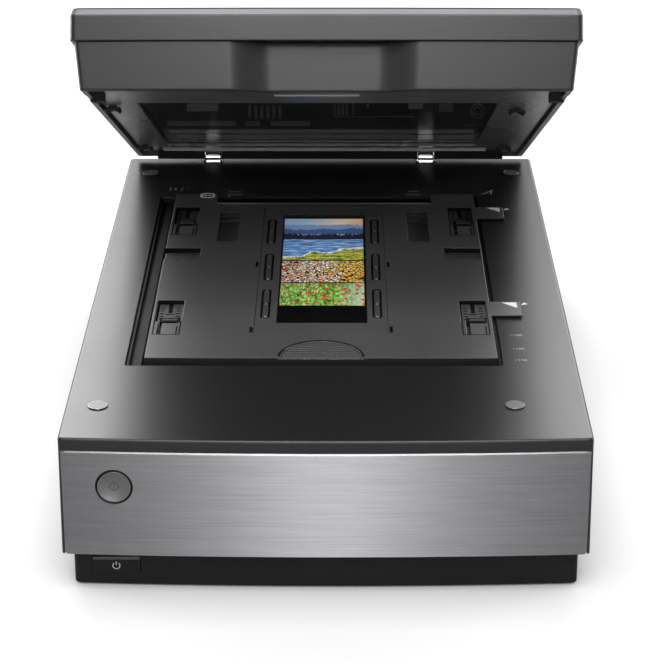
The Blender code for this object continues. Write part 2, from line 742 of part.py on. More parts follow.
def make_scan_drive(bench):
    """Guide rod, belt, two pulleys, motor and the carriage that the belt pulls."""
    front = WALL_FRONT + TRAY_WALL - case_bow(abs(ROD_X) + ROD_RADIUS) + GAP
    rear = CASE_DEPTH - TRAY_SETBACK - TRAY_WALL - GAP
    rod = turned([(ROD_RADIUS, front), (ROD_RADIUS, rear)], (ROD_X, 0, ROD_Z), "Y", 20)
    piece("guide_rod", rod, "steel", bench, round_piece=True)
    piece("drive_belt", belt(BELT_X, PULLEY_FRONT, PULLEY_REAR, PULLEY_RADIUS, BELT_Z), "rubber", bench)
    motor_top = Z_FLOOR + GAP + MOTOR_HEIGHT
    motor = [(MOTOR_RADIUS, Z_FLOOR + GAP), (MOTOR_RADIUS, motor_top)]
    piece("scan_motor", turned(motor, (BELT_X, PULLEY_FRONT, 0)), "steel", bench, round_piece=True)
    pulleys = (("drive_pulley", PULLEY_FRONT, motor_top + GAP), ("idler_pulley", PULLEY_REAR, Z_FLOOR + GAP))
    for name, y, foot in pulleys:
        wheel = pulley(BELT_X, y, BELT_Z, PULLEY_RADIUS, foot)
        piece(name, wheel, "black_plastic", bench, origin=(BELT_X, y, BELT_Z), round_piece=True)
    low = ROD_Z + ROD_RADIUS + SLIDE_GAP
    high = Z_TOP - CAR_TOP_DROP
    xs = (WELL[0] + CAR_SIDE, WELL[1] - CAR_SIDE)
    ys = (CAR_HOME, CAR_HOME + CAR_LENGTH)
    tongue = (BELT_X - PULLEY_RADIUS, BELT_X - PULLEY_RADIUS + BELT_TONGUE)
    side = [
        (xs[0], low), (tongue[0], low), (tongue[0], BELT_Z), (tongue[1], BELT_Z), (tongue[1], low),
        (xs[1], low), (xs[1], high), (xs[0], high),
    ]
    body = prism_y(side, ys)
    third = CAR_LENGTH / 3
    trim_x = (tongue[0] - OUT / 10, tongue[1] + OUT / 10)
    shorten = [
        block(trim_x, (ys[0] - OUT, ys[0] + third), (BELT_Z - OUT / 3, low)),
        block(trim_x, (ys[1] - third, ys[1] + OUT), (BELT_Z - OUT / 3, low)),
    ]
    piece("scan_carriage", body, "satin_black", bench, cuts=shorten)
    mid = (ys[0] + ys[1]) / 2
    lamp_z = (high + GAP, high + GAP + LAMP_HEIGHT)
    lamp = block((xs[0] + CAR_SIDE, xs[1] - CAR_SIDE), (mid - LAMP_WIDTH / 2, mid + LAMP_WIDTH / 2), lamp_z)
    piece("scan_lamp", lamp, "lamp_white", bench)
    board_x, board_y = centred(*BOARD_SPOT, BOARD_SIZE)
    board = block(board_x, board_y, (Z_FLOOR + GAP, Z_FLOOR + GAP + BOARD_SIZE[2]))
    piece("main_board", board, "board_green", bench)


# ---------------------------------------------------------------- hinges

def post_outline(grow):
    """Side view of a hinge post: a round head on a flat bar."""
    neck, head = POST_NECK + grow, POST_HEAD + grow
    lean = math.degrees(math.asin(neck / head))
    round_top = arc(PIVOT.y, PIVOT.z, head, lean - 90, 270 - lean, 16)
    foot = PIVOT.z - POST_LENGTH
    return [(PIVOT.y - neck, foot), (PIVOT.y + neck, foot)] + round_top


def make_hinges(bench, lid):
    """Sockets in the base, posts that slide up out of them, pins, and brackets on the lid."""
    for side, x in HINGE_X.items():
        bore = (POST_HALF + SLIDE_GAP, POST_NECK + SLIDE_GAP)
        wall = (bore[0] + SOCKET_WALL, bore[1] + SOCKET_WALL)
        top = Z_TOP - COVER_PLATE - GAP
        foot = top - SOCKET_LENGTH
        body = block((x - wall[0], x + wall[0]), (PIVOT.y - wall[1], PIVOT.y + wall[1]), (foot, top))
        hole_y = (PIVOT.y - bore[1], PIVOT.y + bore[1])
        hole = block((x - bore[0], x + bore[0]), hole_y, (foot - OUT, top + OUT))
        piece("hinge_socket_" + side, body, "black_plastic", bench, cuts=[hole])
        centre = (x, PIVOT.y, PIVOT.z)
        eye = PIN_RADIUS + GAP
        across = POST_HALF + SLIDE_GAP + BRACKET_LEAF
        pin_hole = turned([(eye, -OUT), (eye, OUT)], centre, "X", 16)
        post = prism_x(post_outline(0), (x - POST_HALF, x + POST_HALF))
        piece("hinge_post_" + side, post, "chrome", bench, origin=centre, cuts=[pin_hole], round_piece=True)
        top = Z_RIM + LID_PLATE_RISE - GAP
        leaf = arc(PIVOT.y, PIVOT.z, POST_HEAD, 180, 360, 12)
        leaf += [(PIVOT.y + BRACKET_NECK, top), (PIVOT.y - BRACKET_NECK, top)]
        bracket = prism_x(leaf, (x - across, x + across))
        gap = POST_HALF + SLIDE_GAP
        room = block((x - gap, x + gap), (PIVOT.y - OUT, PIVOT.y + OUT), (PIVOT.z - OUT, top - BRACKET_BRIDGE))
        cuts = [room, pin_hole]
        piece("hinge_bracket_" + side, bracket, "chrome", lid, origin=centre, cuts=cuts, round_piece=True)
        reach = across + PIN_PROUD
        pin = turned([(PIN_RADIUS, -reach), (PIN_RADIUS, reach)], centre, "X", 16)
        piece("hinge_pin_" + side, pin, "chrome", lid, origin=centre, round_piece=True)


# ---------------------------------------------------------------- lid

def grip_dent(x):
    """Depth of the finger grip in the lid's front at x: a flat bay with smooth ramps."""
    t = (abs(x - GRIP_X) - GRIP_HALF + GRIP_RAMP / 2) / GRIP_RAMP
    t = min(max(t, 0.0), 1.0)
    return GRIP_DEPTH * (1 - t * t * (3 - 2 * t))


def lid_stations():
    """Places along the lid's front edge where its bow and the grip are drawn."""
    ramp = [GRIP_HALF + GRIP_RAMP * (i / 4 - 0.5) for i in range(5)]
    side = LID_HALF * 0.66
    return [-side] + [GRIP_X - r for r in reversed(ramp)] + [GRIP_X] + [GRIP_X + r for r in ramp] + [side]


def lid_section(side, end, rise, dented=True):
    """The lid's rim outline grown by side in x and end in y, at a height above the rim."""
    half = LID_HALF + side
    dent = grip_dent if dented else None
    corner = LID_CORNER + (side + end) / 2
    points = outline(-half, half, LID_FRONT - end, LID_REAR + end, corner, LID_BOW, lid_stations(), dent)
    return at_height(points, Z_RIM + rise)


def along(l):
    """Bench y of a place l forward of the shut lid's rear edge."""
    return LID_REAR - l


def window_spans(grow):
    """The lid window's spans in x and y, grown by grow."""
    half = WINDOW_WIDTH / 2 + grow
    front, rear = WINDOW_REAR + WINDOW_LENGTH + grow, WINDOW_REAR - grow
    return (WINDOW_X - half, WINDOW_X + half), (along(front), along(rear))


def make_lid_shells(lid):
    """Skirt with its finger grip, top shell with its lip, inner plate and window."""
    thin = (SKIRT_FLARE - SKIRT_WALL, END_FLARE - SKIRT_WALL)
    plate_top = LID_PLATE_RISE + LID_PLATE + GAP
    skirt = loft([
        lid_section(-RIM_ROUND, -RIM_ROUND, 0), lid_section(0, 0, RIM_ROUND),
        lid_section(SKIRT_FLARE, END_FLARE, SKIRT_HEIGHT), lid_section(*thin, SKIRT_HEIGHT),
        lid_section(RIM_ROUND - SKIRT_WALL, -SKIRT_WALL, plate_top + SKIRT_WALL),
        lid_section(-RIM_WIDTH, -RIM_WIDTH, plate_top), lid_section(-RIM_WIDTH, -RIM_WIDTH, 0),
    ], close=True)
    cuts = []
    for x in HINGE_X.values():
        across = slot_spans(x)[0]
        cuts.append(block(across, (LID_REAR - 3 * RIM_WIDTH, LID_REAR + OUT), (Z_RIM - OUT, Z_RIM + LID_PLATE_RISE)))
    notch_y = (along(STOP_L), along(STOP_L - SIDE_NOTCH_LENGTH))
    for edges in ((-CASE_WIDTH, GAP - LID_HALF + RIM_WIDTH), (LID_HALF - RIM_WIDTH - GAP, CASE_WIDTH)):
        cuts.append(block(edges, notch_y, (Z_RIM - OUT, Z_RIM + SIDE_NOTCH_HEIGHT)))
    piece("lid_skirt", skirt, "lid_paint", lid, cuts=cuts)
    foot = SKIRT_HEIGHT + GAP
    shell = loft([
        lid_section(*thin, LID_TOP - LID_SHELL, False), lid_section(*thin, foot, False),
        lid_section(*LID_LIP_OUT, foot, False), lid_section(*LID_LIP_OUT, foot + LID_LIP, False),
        lid_section(*LID_TOP_OUT, LID_TOP, False),
    ])
    piece("lid_top_shell", shell, "lid_paint", lid)
    edge = -RIM_WIDTH - GAP
    plate = loft([lid_section(edge, edge, LID_PLATE_RISE), lid_section(edge, edge, LID_PLATE_RISE + LID_PLATE)])
    opening = block(*window_spans(0), (Z_RIM - OUT, Z_RIM + OUT))
    piece("lid_inner_plate", plate, "lid_paint", lid, cuts=[opening])
    low = Z_RIM + plate_top
    piece("lid_window", block(*window_spans(WINDOW_LAP), (low, low + WINDOW_SHEET)), "smoked_glass", lid)


def make_lid_fittings(lid):
    """Rest blocks at the front and the four hooks that a document mat hangs on."""
    top = Z_RIM + LID_PLATE_RISE - GAP
    for side, sign in (("left", -1), ("right", 1)):
        x = sign * (LID_HALF - RIM_WIDTH - GAP - STOP_SIZE[0] / 2)
        spans = centred(x, along(STOP_L + STOP_SIZE[1] / 2), STOP_SIZE)
        piece("lid_stop_" + side, block(*spans, (Z_RIM - STOP_DROP, top)), "rubber", lid)
    for name, (x, l) in HOOK_SPOTS.items():
        y = along(l)
        half = HOOK_SIZE[1] / 2
        low = Z_RIM - HOOK_DROP
        side = [
            (y - half, low), (y + half, low), (y + half, low + HOOK_SHEET),
            (y - half + HOOK_SHEET, low + HOOK_SHEET), (y - half + HOOK_SHEET, top), (y - half, top),
        ]
        hook = prism_x(side, (x - HOOK_SIZE[0] / 2, x + HOOK_SIZE[0] / 2))
        piece("mat_hook_" + name, hook, "satin_black", lid)


def make_lid_drive(lid):
    """Rail, light bar on its carriage, belt, pulleys and motor above the lid's window."""
    floor = Z_RIM + LID_PLATE_RISE + LID_PLATE + GAP
    rail_y = (along(RAIL_END_GAP + RAIL_LENGTH), along(RAIL_END_GAP))
    rail_x = (RAIL_X - RAIL_SIZE[0] / 2, RAIL_X + RAIL_SIZE[0] / 2)
    piece("lid_rail", block(rail_x, rail_y, (floor, floor + RAIL_SIZE[1])), "steel", lid)
    belt_x = RAIL_X + RAIL_SIZE[0] / 2 + LID_PULLEY_RADIUS + BELT_SHEET + 4 * GAP
    belt_z = Z_RIM + LID_BELT_RISE
    rear, front = along(LID_PULLEY_REAR), along(LID_PULLEY_REAR + LID_PULLEY_SPAN)
    piece("lid_belt", belt(belt_x, front, rear, LID_PULLEY_RADIUS, belt_z), "rubber", lid)
    for name, y in (("lid_drive_pulley", rear), ("lid_idler_pulley", front)):
        wheel = pulley(belt_x, y, belt_z, LID_PULLEY_RADIUS, floor)
        piece(name, wheel, "black_plastic", lid, origin=(belt_x, y, belt_z), round_piece=True)
    motor_low = belt_z + BELT_WIDTH + PULLEY_FLANGE + GAP
    motor = [(LID_MOTOR_RADIUS, motor_low), (LID_MOTOR_RADIUS, motor_low + LID_MOTOR_HEIGHT)]
    piece("lid_motor", turned(motor, (belt_x, rear, 0)), "steel", lid, round_piece=True)
    low = floor + RAIL_SIZE[1] + SLIDE_GAP
    spans_x = window_spans(WINDOW_LAP)[0]
    right = belt_x - LID_PULLEY_RADIUS - BELT_SHEET - 2 * GAP
    ys = (along(LID_CAR_HOME + LID_CAR_LENGTH), along(LID_CAR_HOME))
    body = block((spans_x[0], right), ys, (low, low + LID_CAR_HEIGHT))
    mid = (ys[0] + ys[1]) / 2
    piece("lid_carriage", body, "satin_black", lid, origin=(0, mid, low))
    spans_x = window_spans(-WINDOW_LAP)[0]
    lamp_z = (low - GAP - LID_LAMP_HEIGHT, low - GAP)
    lamp = block(spans_x, (mid - LID_LAMP_WIDTH / 2, mid + LID_LAMP_WIDTH / 2), lamp_z)
    piece("lid_lamp", lamp, "lamp_white", lid, origin=(0, mid, low))


# ---------------------------------------------------------------- film holder

def holder_outline():
    """Plan of the film holder: two rear shoulders, and two tabs out to the right."""
    tab = HOLDER_RIGHT + TAB_REACH
    points = [(HOLDER_LEFT, HOLDER_FRONT), (HOLDER_RIGHT, HOLDER_FRONT)]
    for front in TAB_FRONTS:
        rear = front + TAB_LENGTH
        points += [(HOLDER_RIGHT, front), (tab, front), (tab, rear), (HOLDER_RIGHT, rear)]
    points += [(HOLDER_RIGHT, HOLDER_REAR), (NOTCH_RIGHT, HOLDER_REAR), (NOTCH_RIGHT, NOTCH_Y)]
    points += [(NOTCH_LEFT, NOTCH_Y), (NOTCH_LEFT, HOLDER_REAR), (HOLDER_LEFT, HOLDER_REAR)]
    return points


def pocket(x, width, y, length, depth):
    """A rectangular pocket of that depth in the holder's top face."""
    return block(*centred(x, y, (width, length)), (Z_HOLDER - depth, Z_HOLDER + OUT))


def window_cut():
    """The film window through holder and cover."""
    half = FILM_WINDOW_WIDTH / 2
    return block((FILM_WINDOW_X - half, FILM_WINDOW_X + half), FILM_WINDOW_Y, (Z_GLASS - OUT, Z_HOLDER + OUT))


def make_holder(bench):
    """Film holder with its hinged cover, the strip of film and the four height sliders."""
    film_z = Z_HOLDER - FILM_COVER_DROP - FILM_COVER_SHEET - GAP - FILM_SHEET
    cover_floor = film_z - GAP
    x0, x1 = FILM_COVER_X
    y0, y1 = FILM_COVER_Y
    shoulder = WELL[3] - WELL_STEP_WIDTH - SLIDE_GAP
    shoulder_z = Z_TOP - WELL_STEP_DROP + TAB_UNDER
    over = HOLDER_REAR + OUT
    cuts = [
        block((x0 - GAP, x1 + GAP), (y0 - GAP, y1 + GAP), (cover_floor, Z_HOLDER + OUT)),
        window_cut(),
        block((HOLDER_RIGHT, HOLDER_RIGHT + OUT), (HOLDER_FRONT - OUT, over), (Z_GLASS - OUT, Z_TOP + TAB_UNDER)),
        block((HOLDER_LEFT - OUT, HOLDER_RIGHT + OUT), (shoulder, over), (Z_GLASS - OUT, shoulder_z)),
    ]
    for x, y in ADJUSTER_SPOTS.values():
        room = ADJUSTER_SIZE[1] - SLIDER_PLATE
        cuts.append(pocket(x, ADJUSTER_SIZE[0], y + (ADJUSTER_SIZE[1] - room) / 2, room, ADJUSTER_DEPTH))
        front_y = y + (SLIDER_PLATE - ADJUSTER_SIZE[1]) / 2
        lane = (SLIDER_WIDTH + 2 * SLIDE_GAP, SLIDER_PLATE + 2 * EDGE)
        cuts.append(pocket(x, lane[0], front_y + EDGE, lane[1], ADJUSTER_DEPTH))
    cuts += [pocket(x, FINGER_SIZE[0], y, FINGER_SIZE[1], FINGER_DEPTH) for x, y in FINGER_SPOTS.values()]
    cuts += [pocket(x, GUIDE_SIZE[0], y, GUIDE_SIZE[1], GUIDE_DEPTH) for x, y in GUIDE_SPOTS]
    cuts += [pocket(x, CATCH_SIZE[0], y, CATCH_SIZE[1], GUIDE_DEPTH) for x, y in CATCH_SLOTS]
    thumb = arc(THUMB_X, HOLDER_FRONT, THUMB_RADIUS, 0, 180, 16)
    ends = [(THUMB_X + side * THUMB_RADIUS, HOLDER_FRONT - OUT) for side in (1, -1)]
    thumb = [ends[0], *thumb, ends[1]]
    cuts.append(prism_z(thumb, (Z_HOLDER - THUMB_DEPTH, Z_HOLDER + OUT)))
    low = Z_HOLDER - HOLDER_BODY
    piece("film_holder", prism_z(holder_outline(), (low, Z_HOLDER)), "holder_plastic", bench, cuts=cuts)
    top = Z_HOLDER - FILM_COVER_DROP
    clips = []
    for x, y in [(x, y) for x in CLIP_X for y in CLIP_Y]:
        spans_x, spans_y = centred(x, y, CLIP_SIZE)
        clip = outline(*spans_x, *spans_y, CLIP_SIZE[0] * 0.4)
        clips.append(prism_z(clip, (top - CLIP_DEPTH, top + OUT)))
    cover = block(FILM_COVER_X, FILM_COVER_Y, (top - FILM_COVER_SHEET, top))
    piece("film_cover", cover, "holder_plastic", bench, origin=(0, y1, top), cuts=[window_cut(), *clips])
    half = FILM_WIDTH / 2
    film_y = (FILM_WINDOW_Y[0] - FILM_LAP, FILM_WINDOW_Y[1] + FILM_LAP)
    film = block((FILM_WINDOW_X - half, FILM_WINDOW_X + half), film_y, (film_z, film_z + FILM_SHEET))
    piece("film_strip", film, "film", bench)
    floor = Z_HOLDER - ADJUSTER_DEPTH + GAP
    for name, (x, y) in ADJUSTER_SPOTS.items():
        front = y - ADJUSTER_SIZE[1] / 2 + SLIDE_GAP
        plate_top = floor + SLIDER_SHEET
        bar = (front + SLIDER_PLATE, front + SLIDER_PLATE + SLIDER_BAR)
        bar_top = floor + SLIDER_BAR_HEIGHT
        side = [
            (front, floor), (bar[1], floor), (bar[1], bar_top), (bar[0], bar_top),
            (bar[0], plate_top), (front, plate_top),
        ]
        slider = prism_x(side, (x - SLIDER_WIDTH / 2, x + SLIDER_WIDTH / 2))
        piece("height_slider_" + name, slider, "satin_black", bench, origin=(x, y, floor))


def main():
    for old in list(bpy.data.objects):
        bpy.data.objects.remove(old)
    bench_empty = new_empty("bench", (0, -MID_Y, 0))
    lid_pivot = new_empty("lid_pivot", PIVOT, bench_empty)
    lid_pivot.rotation_euler.x = -LID_TILT
    bench = (bench_empty, Vector((0, 0, 0)))
    lid = (lid_pivot, PIVOT)
    make_tray(bench)
    make_cover(bench)
    make_caps(bench)
    make_fascia(bench)
    make_start_button(bench)
    make_power_button(bench)
    make_glass(bench)
    make_ports(bench)
    make_scan_drive(bench)
    make_hinges(bench, lid)
    make_lid_shells(lid)
    make_lid_fittings(lid)
    make_lid_drive(lid)
    make_holder(bench)


main()
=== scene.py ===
"""Looks of a flatbed scanner for paper and film, standing with its lid part open."""

import json
import math

import bmesh
import bpy
import numpy as np
from mathutils import Matrix, Vector


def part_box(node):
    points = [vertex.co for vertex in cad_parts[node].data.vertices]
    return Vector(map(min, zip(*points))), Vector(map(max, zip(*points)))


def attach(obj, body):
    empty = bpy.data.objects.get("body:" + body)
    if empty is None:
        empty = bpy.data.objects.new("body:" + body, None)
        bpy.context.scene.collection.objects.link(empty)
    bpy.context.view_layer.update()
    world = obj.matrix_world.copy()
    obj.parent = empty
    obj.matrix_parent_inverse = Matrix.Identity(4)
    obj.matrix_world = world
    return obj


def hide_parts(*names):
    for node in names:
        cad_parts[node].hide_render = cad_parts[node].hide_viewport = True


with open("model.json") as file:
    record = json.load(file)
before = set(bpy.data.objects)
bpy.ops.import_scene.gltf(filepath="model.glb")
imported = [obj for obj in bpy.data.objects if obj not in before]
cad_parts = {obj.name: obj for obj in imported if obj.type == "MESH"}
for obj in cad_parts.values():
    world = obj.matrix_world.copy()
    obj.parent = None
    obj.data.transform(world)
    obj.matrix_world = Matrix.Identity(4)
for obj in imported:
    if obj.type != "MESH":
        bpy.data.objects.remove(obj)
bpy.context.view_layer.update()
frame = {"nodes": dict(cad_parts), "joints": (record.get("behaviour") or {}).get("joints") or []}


# ---- Lower tray and feet ----
# The tray is one black injection-moulded pan with a fine spark-eroded grain. It carries every part of the
# base, shows as a set-back band under the case, and stands on four soft feet glued into round seats.

def new_node(tree, kind, **settings):
    """A shader node with its plain settings given by name."""
    made = tree.nodes.new("ShaderNode" + kind)
    for name, value in settings.items():
        setattr(made, name, value)
    return made


def wire(tree, *links):
    """Joins sockets given as (node, output, node, input)."""
    for source, output, target, entry in links:
        tree.links.new(source.outputs[output], target.inputs[entry])


def preset(node, **values):
    """Sets a node's inputs by name, with an underscore for each space."""
    for name, value in values.items():
        node.inputs[name.replace("_", " ")].default_value = value
    return node


def noise(tree, scale, detail=2.0, rough=0.5):
    """Noise of that many cells to the metre."""
    return preset(new_node(tree, "TexNoise"), Scale=scale, Detail=detail, Roughness=rough)


def ranged(tree, low, high, to_low=0.0, to_high=1.0, **settings):
    """Carries low..high over to to_low..to_high and holds it there at both ends."""
    made = new_node(tree, "MapRange", **settings)
    return preset(made, From_Min=low, From_Max=high, To_Min=to_low, To_Max=to_high)


def mixed(tree, under=None, over=None):
    """A mix of two colours, each three numbers or left to a link."""
    made = new_node(tree, "Mix", data_type="RGBA")
    for name, colour in (("A", under), ("B", over)):
        if colour is not None:
            made.inputs[name].default_value = (*colour, 1.0)
    return made


def calc(tree, operation, *values):
    """A math node on sockets or numbers, given as its output."""
    made = new_node(tree, "Math", operation=operation)
    for k, value in enumerate(values):
        if isinstance(value, (int, float)):
            made.inputs[k].default_value = value
        else:
            tree.links.new(value, made.inputs[k])
    return made.outputs[0]


def new_group(name, entries, exits):
    """An empty node group with float inputs, given with their usual values, and float outputs."""
    tree = bpy.data.node_groups.new(name, "ShaderNodeTree")
    for entry, value in entries.items():
        socket = tree.interface.new_socket(name=entry, in_out="INPUT", socket_type="NodeSocketFloat")
        socket.default_value = value
    for leave in exits:
        tree.interface.new_socket(name=leave, in_out="OUTPUT", socket_type="NodeSocketFloat")
    return tree, tree.nodes.new("NodeGroupInput"), tree.nodes.new("NodeGroupOutput")


def make_grain_group():
    """Moulded grain: fine noise for height, and a broad soft mottle of the same surface."""
    tree, entry, leave = new_group("moulded_grain", {"Scale": 1800.0}, ("Height", "Mottle"))
    place = new_node(tree, "TexCoord")
    fine, broad = noise(tree, 1800.0), noise(tree, 14.0, 3.0)
    wire(tree, (place, "Object", fine, "Vector"), (place, "Object", broad, "Vector"),
         (entry, "Scale", fine, "Scale"), (fine, "Fac", leave, "Height"), (broad, "Fac", leave, "Mottle"))
    return tree


def make_dust_group():
    """Dust: sparse specks that settle in patches on faces that look up."""
    tree, entry, leave = new_group("settled_dust", {"Amount": 0.3}, ("Dust",))
    place, facing = new_node(tree, "TexCoord"), new_node(tree, "NewGeometry")
    split = new_node(tree, "SeparateXYZ")
    specks, patch = noise(tree, 900.0, 1.0), noise(tree, 9.0, 3.0)
    sparse, upward = ranged(tree, 0.70, 0.80), ranged(tree, 0.5, 0.95)
    wire(tree, (place, "Object", specks, "Vector"), (place, "Object", patch, "Vector"),
         (facing, "Normal", split, 0), (split, "Z", upward, "Value"), (specks, "Fac", sparse, "Value"))
    total = calc(tree, "MULTIPLY", sparse.outputs[0], upward.outputs[0])
    for share in (patch.outputs["Fac"], entry.outputs["Amount"]):
        total = calc(tree, "MULTIPLY", total, share)
    tree.links.new(total, leave.inputs["Dust"])
    return tree


grain_group, dust_group = make_grain_group(), make_dust_group()
DUST_COLOUR = (0.42, 0.41, 0.39)


def blank(name):
    """A new material, its node tree and its Principled shader."""
    material = bpy.data.materials.new(name)
    material.use_nodes = True
    return material, material.node_tree, material.node_tree.nodes["Principled BSDF"]


def grey(tone, cool=0.0):
    """A neutral colour, or one a little to the blue."""
    return (tone, tone, tone + cool)


def moulded(name, colour, roughness, grain, depth=0.06, metallic=0.0, mottle=0.12, sheen_break=0.05,
            dust=0.0, ior=1.5):
    """A moulded or painted surface: grain in the normal, broad mottle in colour and gloss, dust on top."""
    material, tree, shader = blank(name)
    preset(shader, Metallic=metallic, IOR=ior)
    surface = preset(new_node(tree, "Group", node_tree=grain_group), Scale=grain)
    settled = preset(new_node(tree, "Group", node_tree=dust_group), Amount=dust)
    bump = preset(new_node(tree, "Bump"), Strength=depth, Distance=0.001)
    gloss = ranged(tree, 0.3, 0.7, roughness - sheen_break, roughness + sheen_break)
    shade = mixed(tree, [c * (1 - mottle) for c in colour], [min(c * (1 + mottle), 1.0) for c in colour])
    dusted = mixed(tree, over=DUST_COLOUR)
    wire(tree, (surface, "Height", bump, "Height"), (bump, "Normal", shader, "Normal"),
         (surface, "Mottle", gloss, "Value"), (gloss, 0, shader, "Roughness"),
         (surface, "Mottle", shade, "Factor"), (shade, "Result", dusted, "A"),
         (settled, "Dust", dusted, "Factor"), (dusted, "Result", shader, "Base Color"))
    return material


def placed(piece, material, slot, body, *nodes):
    """Gives a piece its material and its body, and hides any CAD node that it replaces; slot is not used."""
    piece.data.materials.clear()
    piece.data.materials.append(material)
    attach(piece, body)
    if nodes:
        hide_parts(*nodes)
    return piece


def cad_finish(material, *nodes):
    """Gives CAD nodes, which keep their own shape, a finer material."""
    for name in nodes:
        node = frame["nodes"][name]
        node.data.materials.clear()
        node.data.materials.append(material)


def put(name, data):
    """A new object of that name in the scene."""
    made = bpy.data.objects.new(name, data)
    bpy.context.scene.collection.objects.link(made)
    return made


SOFT_ANGLE = math.radians(32)


def softened(piece, width, faceted=False):
    """Rounds a piece's sharp edges a little, as a mould or a file leaves them."""
    bevel = piece.modifiers.new("soft_edges", "BEVEL")
    bevel.width = width
    bevel.segments = 2
    bevel.limit_method = "ANGLE"
    bevel.angle_limit = SOFT_ANGLE
    if not faceted:
        piece.data.shade_smooth()
        piece.data.set_sharp_from_angle(angle=SOFT_ANGLE)
        piece.modifiers.new("flat_faces", "WEIGHTED_NORMAL").keep_sharp = True
    return piece


def eased(node, body, material, slot, width, faceted=False):
    """A CAD solid shown with soft edges: a copy with its loose triangles merged and flat faces whole."""
    copy = bmesh.new()
    copy.from_mesh(frame["nodes"][node].data)
    bmesh.ops.remove_doubles(copy, verts=copy.verts, dist=0.00002)
    bmesh.ops.dissolve_limit(copy, angle_limit=math.radians(0.2), verts=copy.verts, edges=copy.edges)
    bmesh.ops.triangulate(copy, faces=[face for face in copy.faces if len(face.verts) > 4])
    mesh = bpy.data.meshes.new(node + "_shown")
    copy.to_mesh(mesh)
    copy.free()
    placed(softened(put(node + "_shown", mesh), width, faceted), material, slot, body, node)


black_pan = moulded("black_pan", grey(0.007, 0.0005), 0.45, grain=1500.0, depth=0.10, dust=0.06, ior=1.36)
foot_rubber = moulded("foot_rubber", grey(0.020), 0.85, grain=900.0, depth=0.25, sheen_break=0.03,
                      dust=0.25)
eased("base_tray", "base", black_pan, "black_plastic", 0.0005)
cad_finish(foot_rubber, *[name for name in frame["nodes"] if name.startswith("foot_")])


# ---- Top cover ----
# The upper case is one moulding in dark pearl paint under clear lacquer: top plate with the well for the
# glass, a lip across the front, side and rear walls. It snaps down over the tray.

CASE_BOW = 0.004
CASE_HALF = 0.154
COVER_CORNER = 0.003
COVER_ROUND = 0.0016
COVER_WALL = 0.0022
COVER_PLATE = 0.0025
COVER_FLARE = 0.0006
FRONT_LIP = 0.00765
WELL_FLANGE = 0.0060
WELL_CORNER = 0.002
WELL_ROUND = 0.00025
case_low, case_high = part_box("top_cover")
front_y = case_low.y + CASE_BOW
CASE_DEPTH = case_high.y - front_y
top_z = case_high.z
lip_z = top_z - FRONT_LIP
cover_foot = case_low.z


def at(y):
    """A place y behind the case's front corners."""
    return front_y + y


def about(middle, size):
    """The span of that size about a middle."""
    return (middle - size / 2, middle + size / 2)


def middle_of(node):
    """The middle of a CAD node's box."""
    low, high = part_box(node)
    return (low + high) / 2


def rounded(x0, x1, y0, y1, radius, bow=0.0, dent=None, stations=41, steps=6):
    """Rounded rectangle, anticlockwise from the front left: straight sides and quarter circles, with a front
    edge that stands forward by bow * (1 - u^2) and back by dent(x)."""
    u = np.linspace(-1, 1, stations)
    x = (x0 + x1) / 2 + u * ((x1 - x0) / 2 - radius)
    front = np.stack([x, y0 - bow * (1 - u**2) + (dent(x) if dent else 0)], 1)
    turn = np.radians(np.linspace(0, 90, steps + 1))
    corner = radius * np.stack([np.cos(turn), np.sin(turn)], 1)
    spin = np.array([[0, 1], [-1, 0]])
    left, right, near, far = x0 + radius, x1 - radius, y0 + radius, y1 - radius
    parts = [front]
    for k, centre in enumerate(((right, near), (right, far), (left, far), (left, near))):
        parts.append(np.array(centre) + corner @ np.linalg.matrix_power(spin, k - 1))
    parts[1] = parts[1][1:]
    parts[4] = parts[4][:-1]
    return np.concatenate(parts)


def level(points, z):
    """An outline lifted to height z."""
    return np.column_stack([points, np.full(len(points), z)])


def new_piece(name, verts, faces):
    """A mesh object from arrays, faces turned outwards."""
    mesh = bpy.data.meshes.new(name)
    mesh.from_pydata(np.asarray(verts).tolist(), [], faces)
    shaped = bmesh.new()
    shaped.from_mesh(mesh)
    bmesh.ops.recalc_face_normals(shaped, faces=shaped.faces)
    shaped.to_mesh(mesh)
    shaped.free()
    return put(name, mesh)


def grid_faces(m, n, joined):
    """Quads of a grid of m rows of n points: rows close on themselves, the last joins the first if joined."""
    i = np.arange(m if joined else m - 1)[:, None]
    j = np.arange(n)[None, :]
    k, after = (i + 1) % m, (j + 1) % n
    quads = np.stack(np.broadcast_arrays(i * n + j, i * n + after, k * n + after, k * n + j), -1)
    return quads.reshape(-1, 4).tolist()


def skins(name, grids, joined=False):
    """Several skins in one mesh, each a grid of outlines along a profile, capped at both ends or joined."""
    verts, faces = [], []
    for rows in grids:
        m, n = rows.shape[:2]
        caps = [] if joined else [list(range(n)), list(range((m - 1) * n, m * n))]
        faces += [[len(verts) + k for k in face] for face in grid_faces(m, n, joined) + caps]
        verts += rows.reshape(-1, 3).tolist()
    return new_piece(name, verts, faces)


def skinned(name, rings, joined=False):
    """One skin over a profile carried round an outline."""
    return skins(name, [np.asarray(rings)], joined)


def blocks(name, *spans):
    """Several plain blocks in one mesh, each from its spans in x, y and z, as cutters or inlays."""
    unit = np.array([(i, j, k) for i in (0, 1) for j in (0, 1) for k in (0, 1)])
    quads = np.array([(0, 1, 3, 2), (4, 6, 7, 5), (0, 4, 5, 1), (2, 3, 7, 6), (0, 2, 6, 4), (1, 5, 7, 3)])
    low, high = np.moveaxis(np.array(spans, float), 2, 0)
    verts = low[:, None] + unit[None] * (high - low)[:, None]
    faces = quads[None] + 8 * np.arange(len(spans))[:, None, None]
    return new_piece(name, verts.reshape(-1, 3), faces.reshape(-1, 4).tolist())


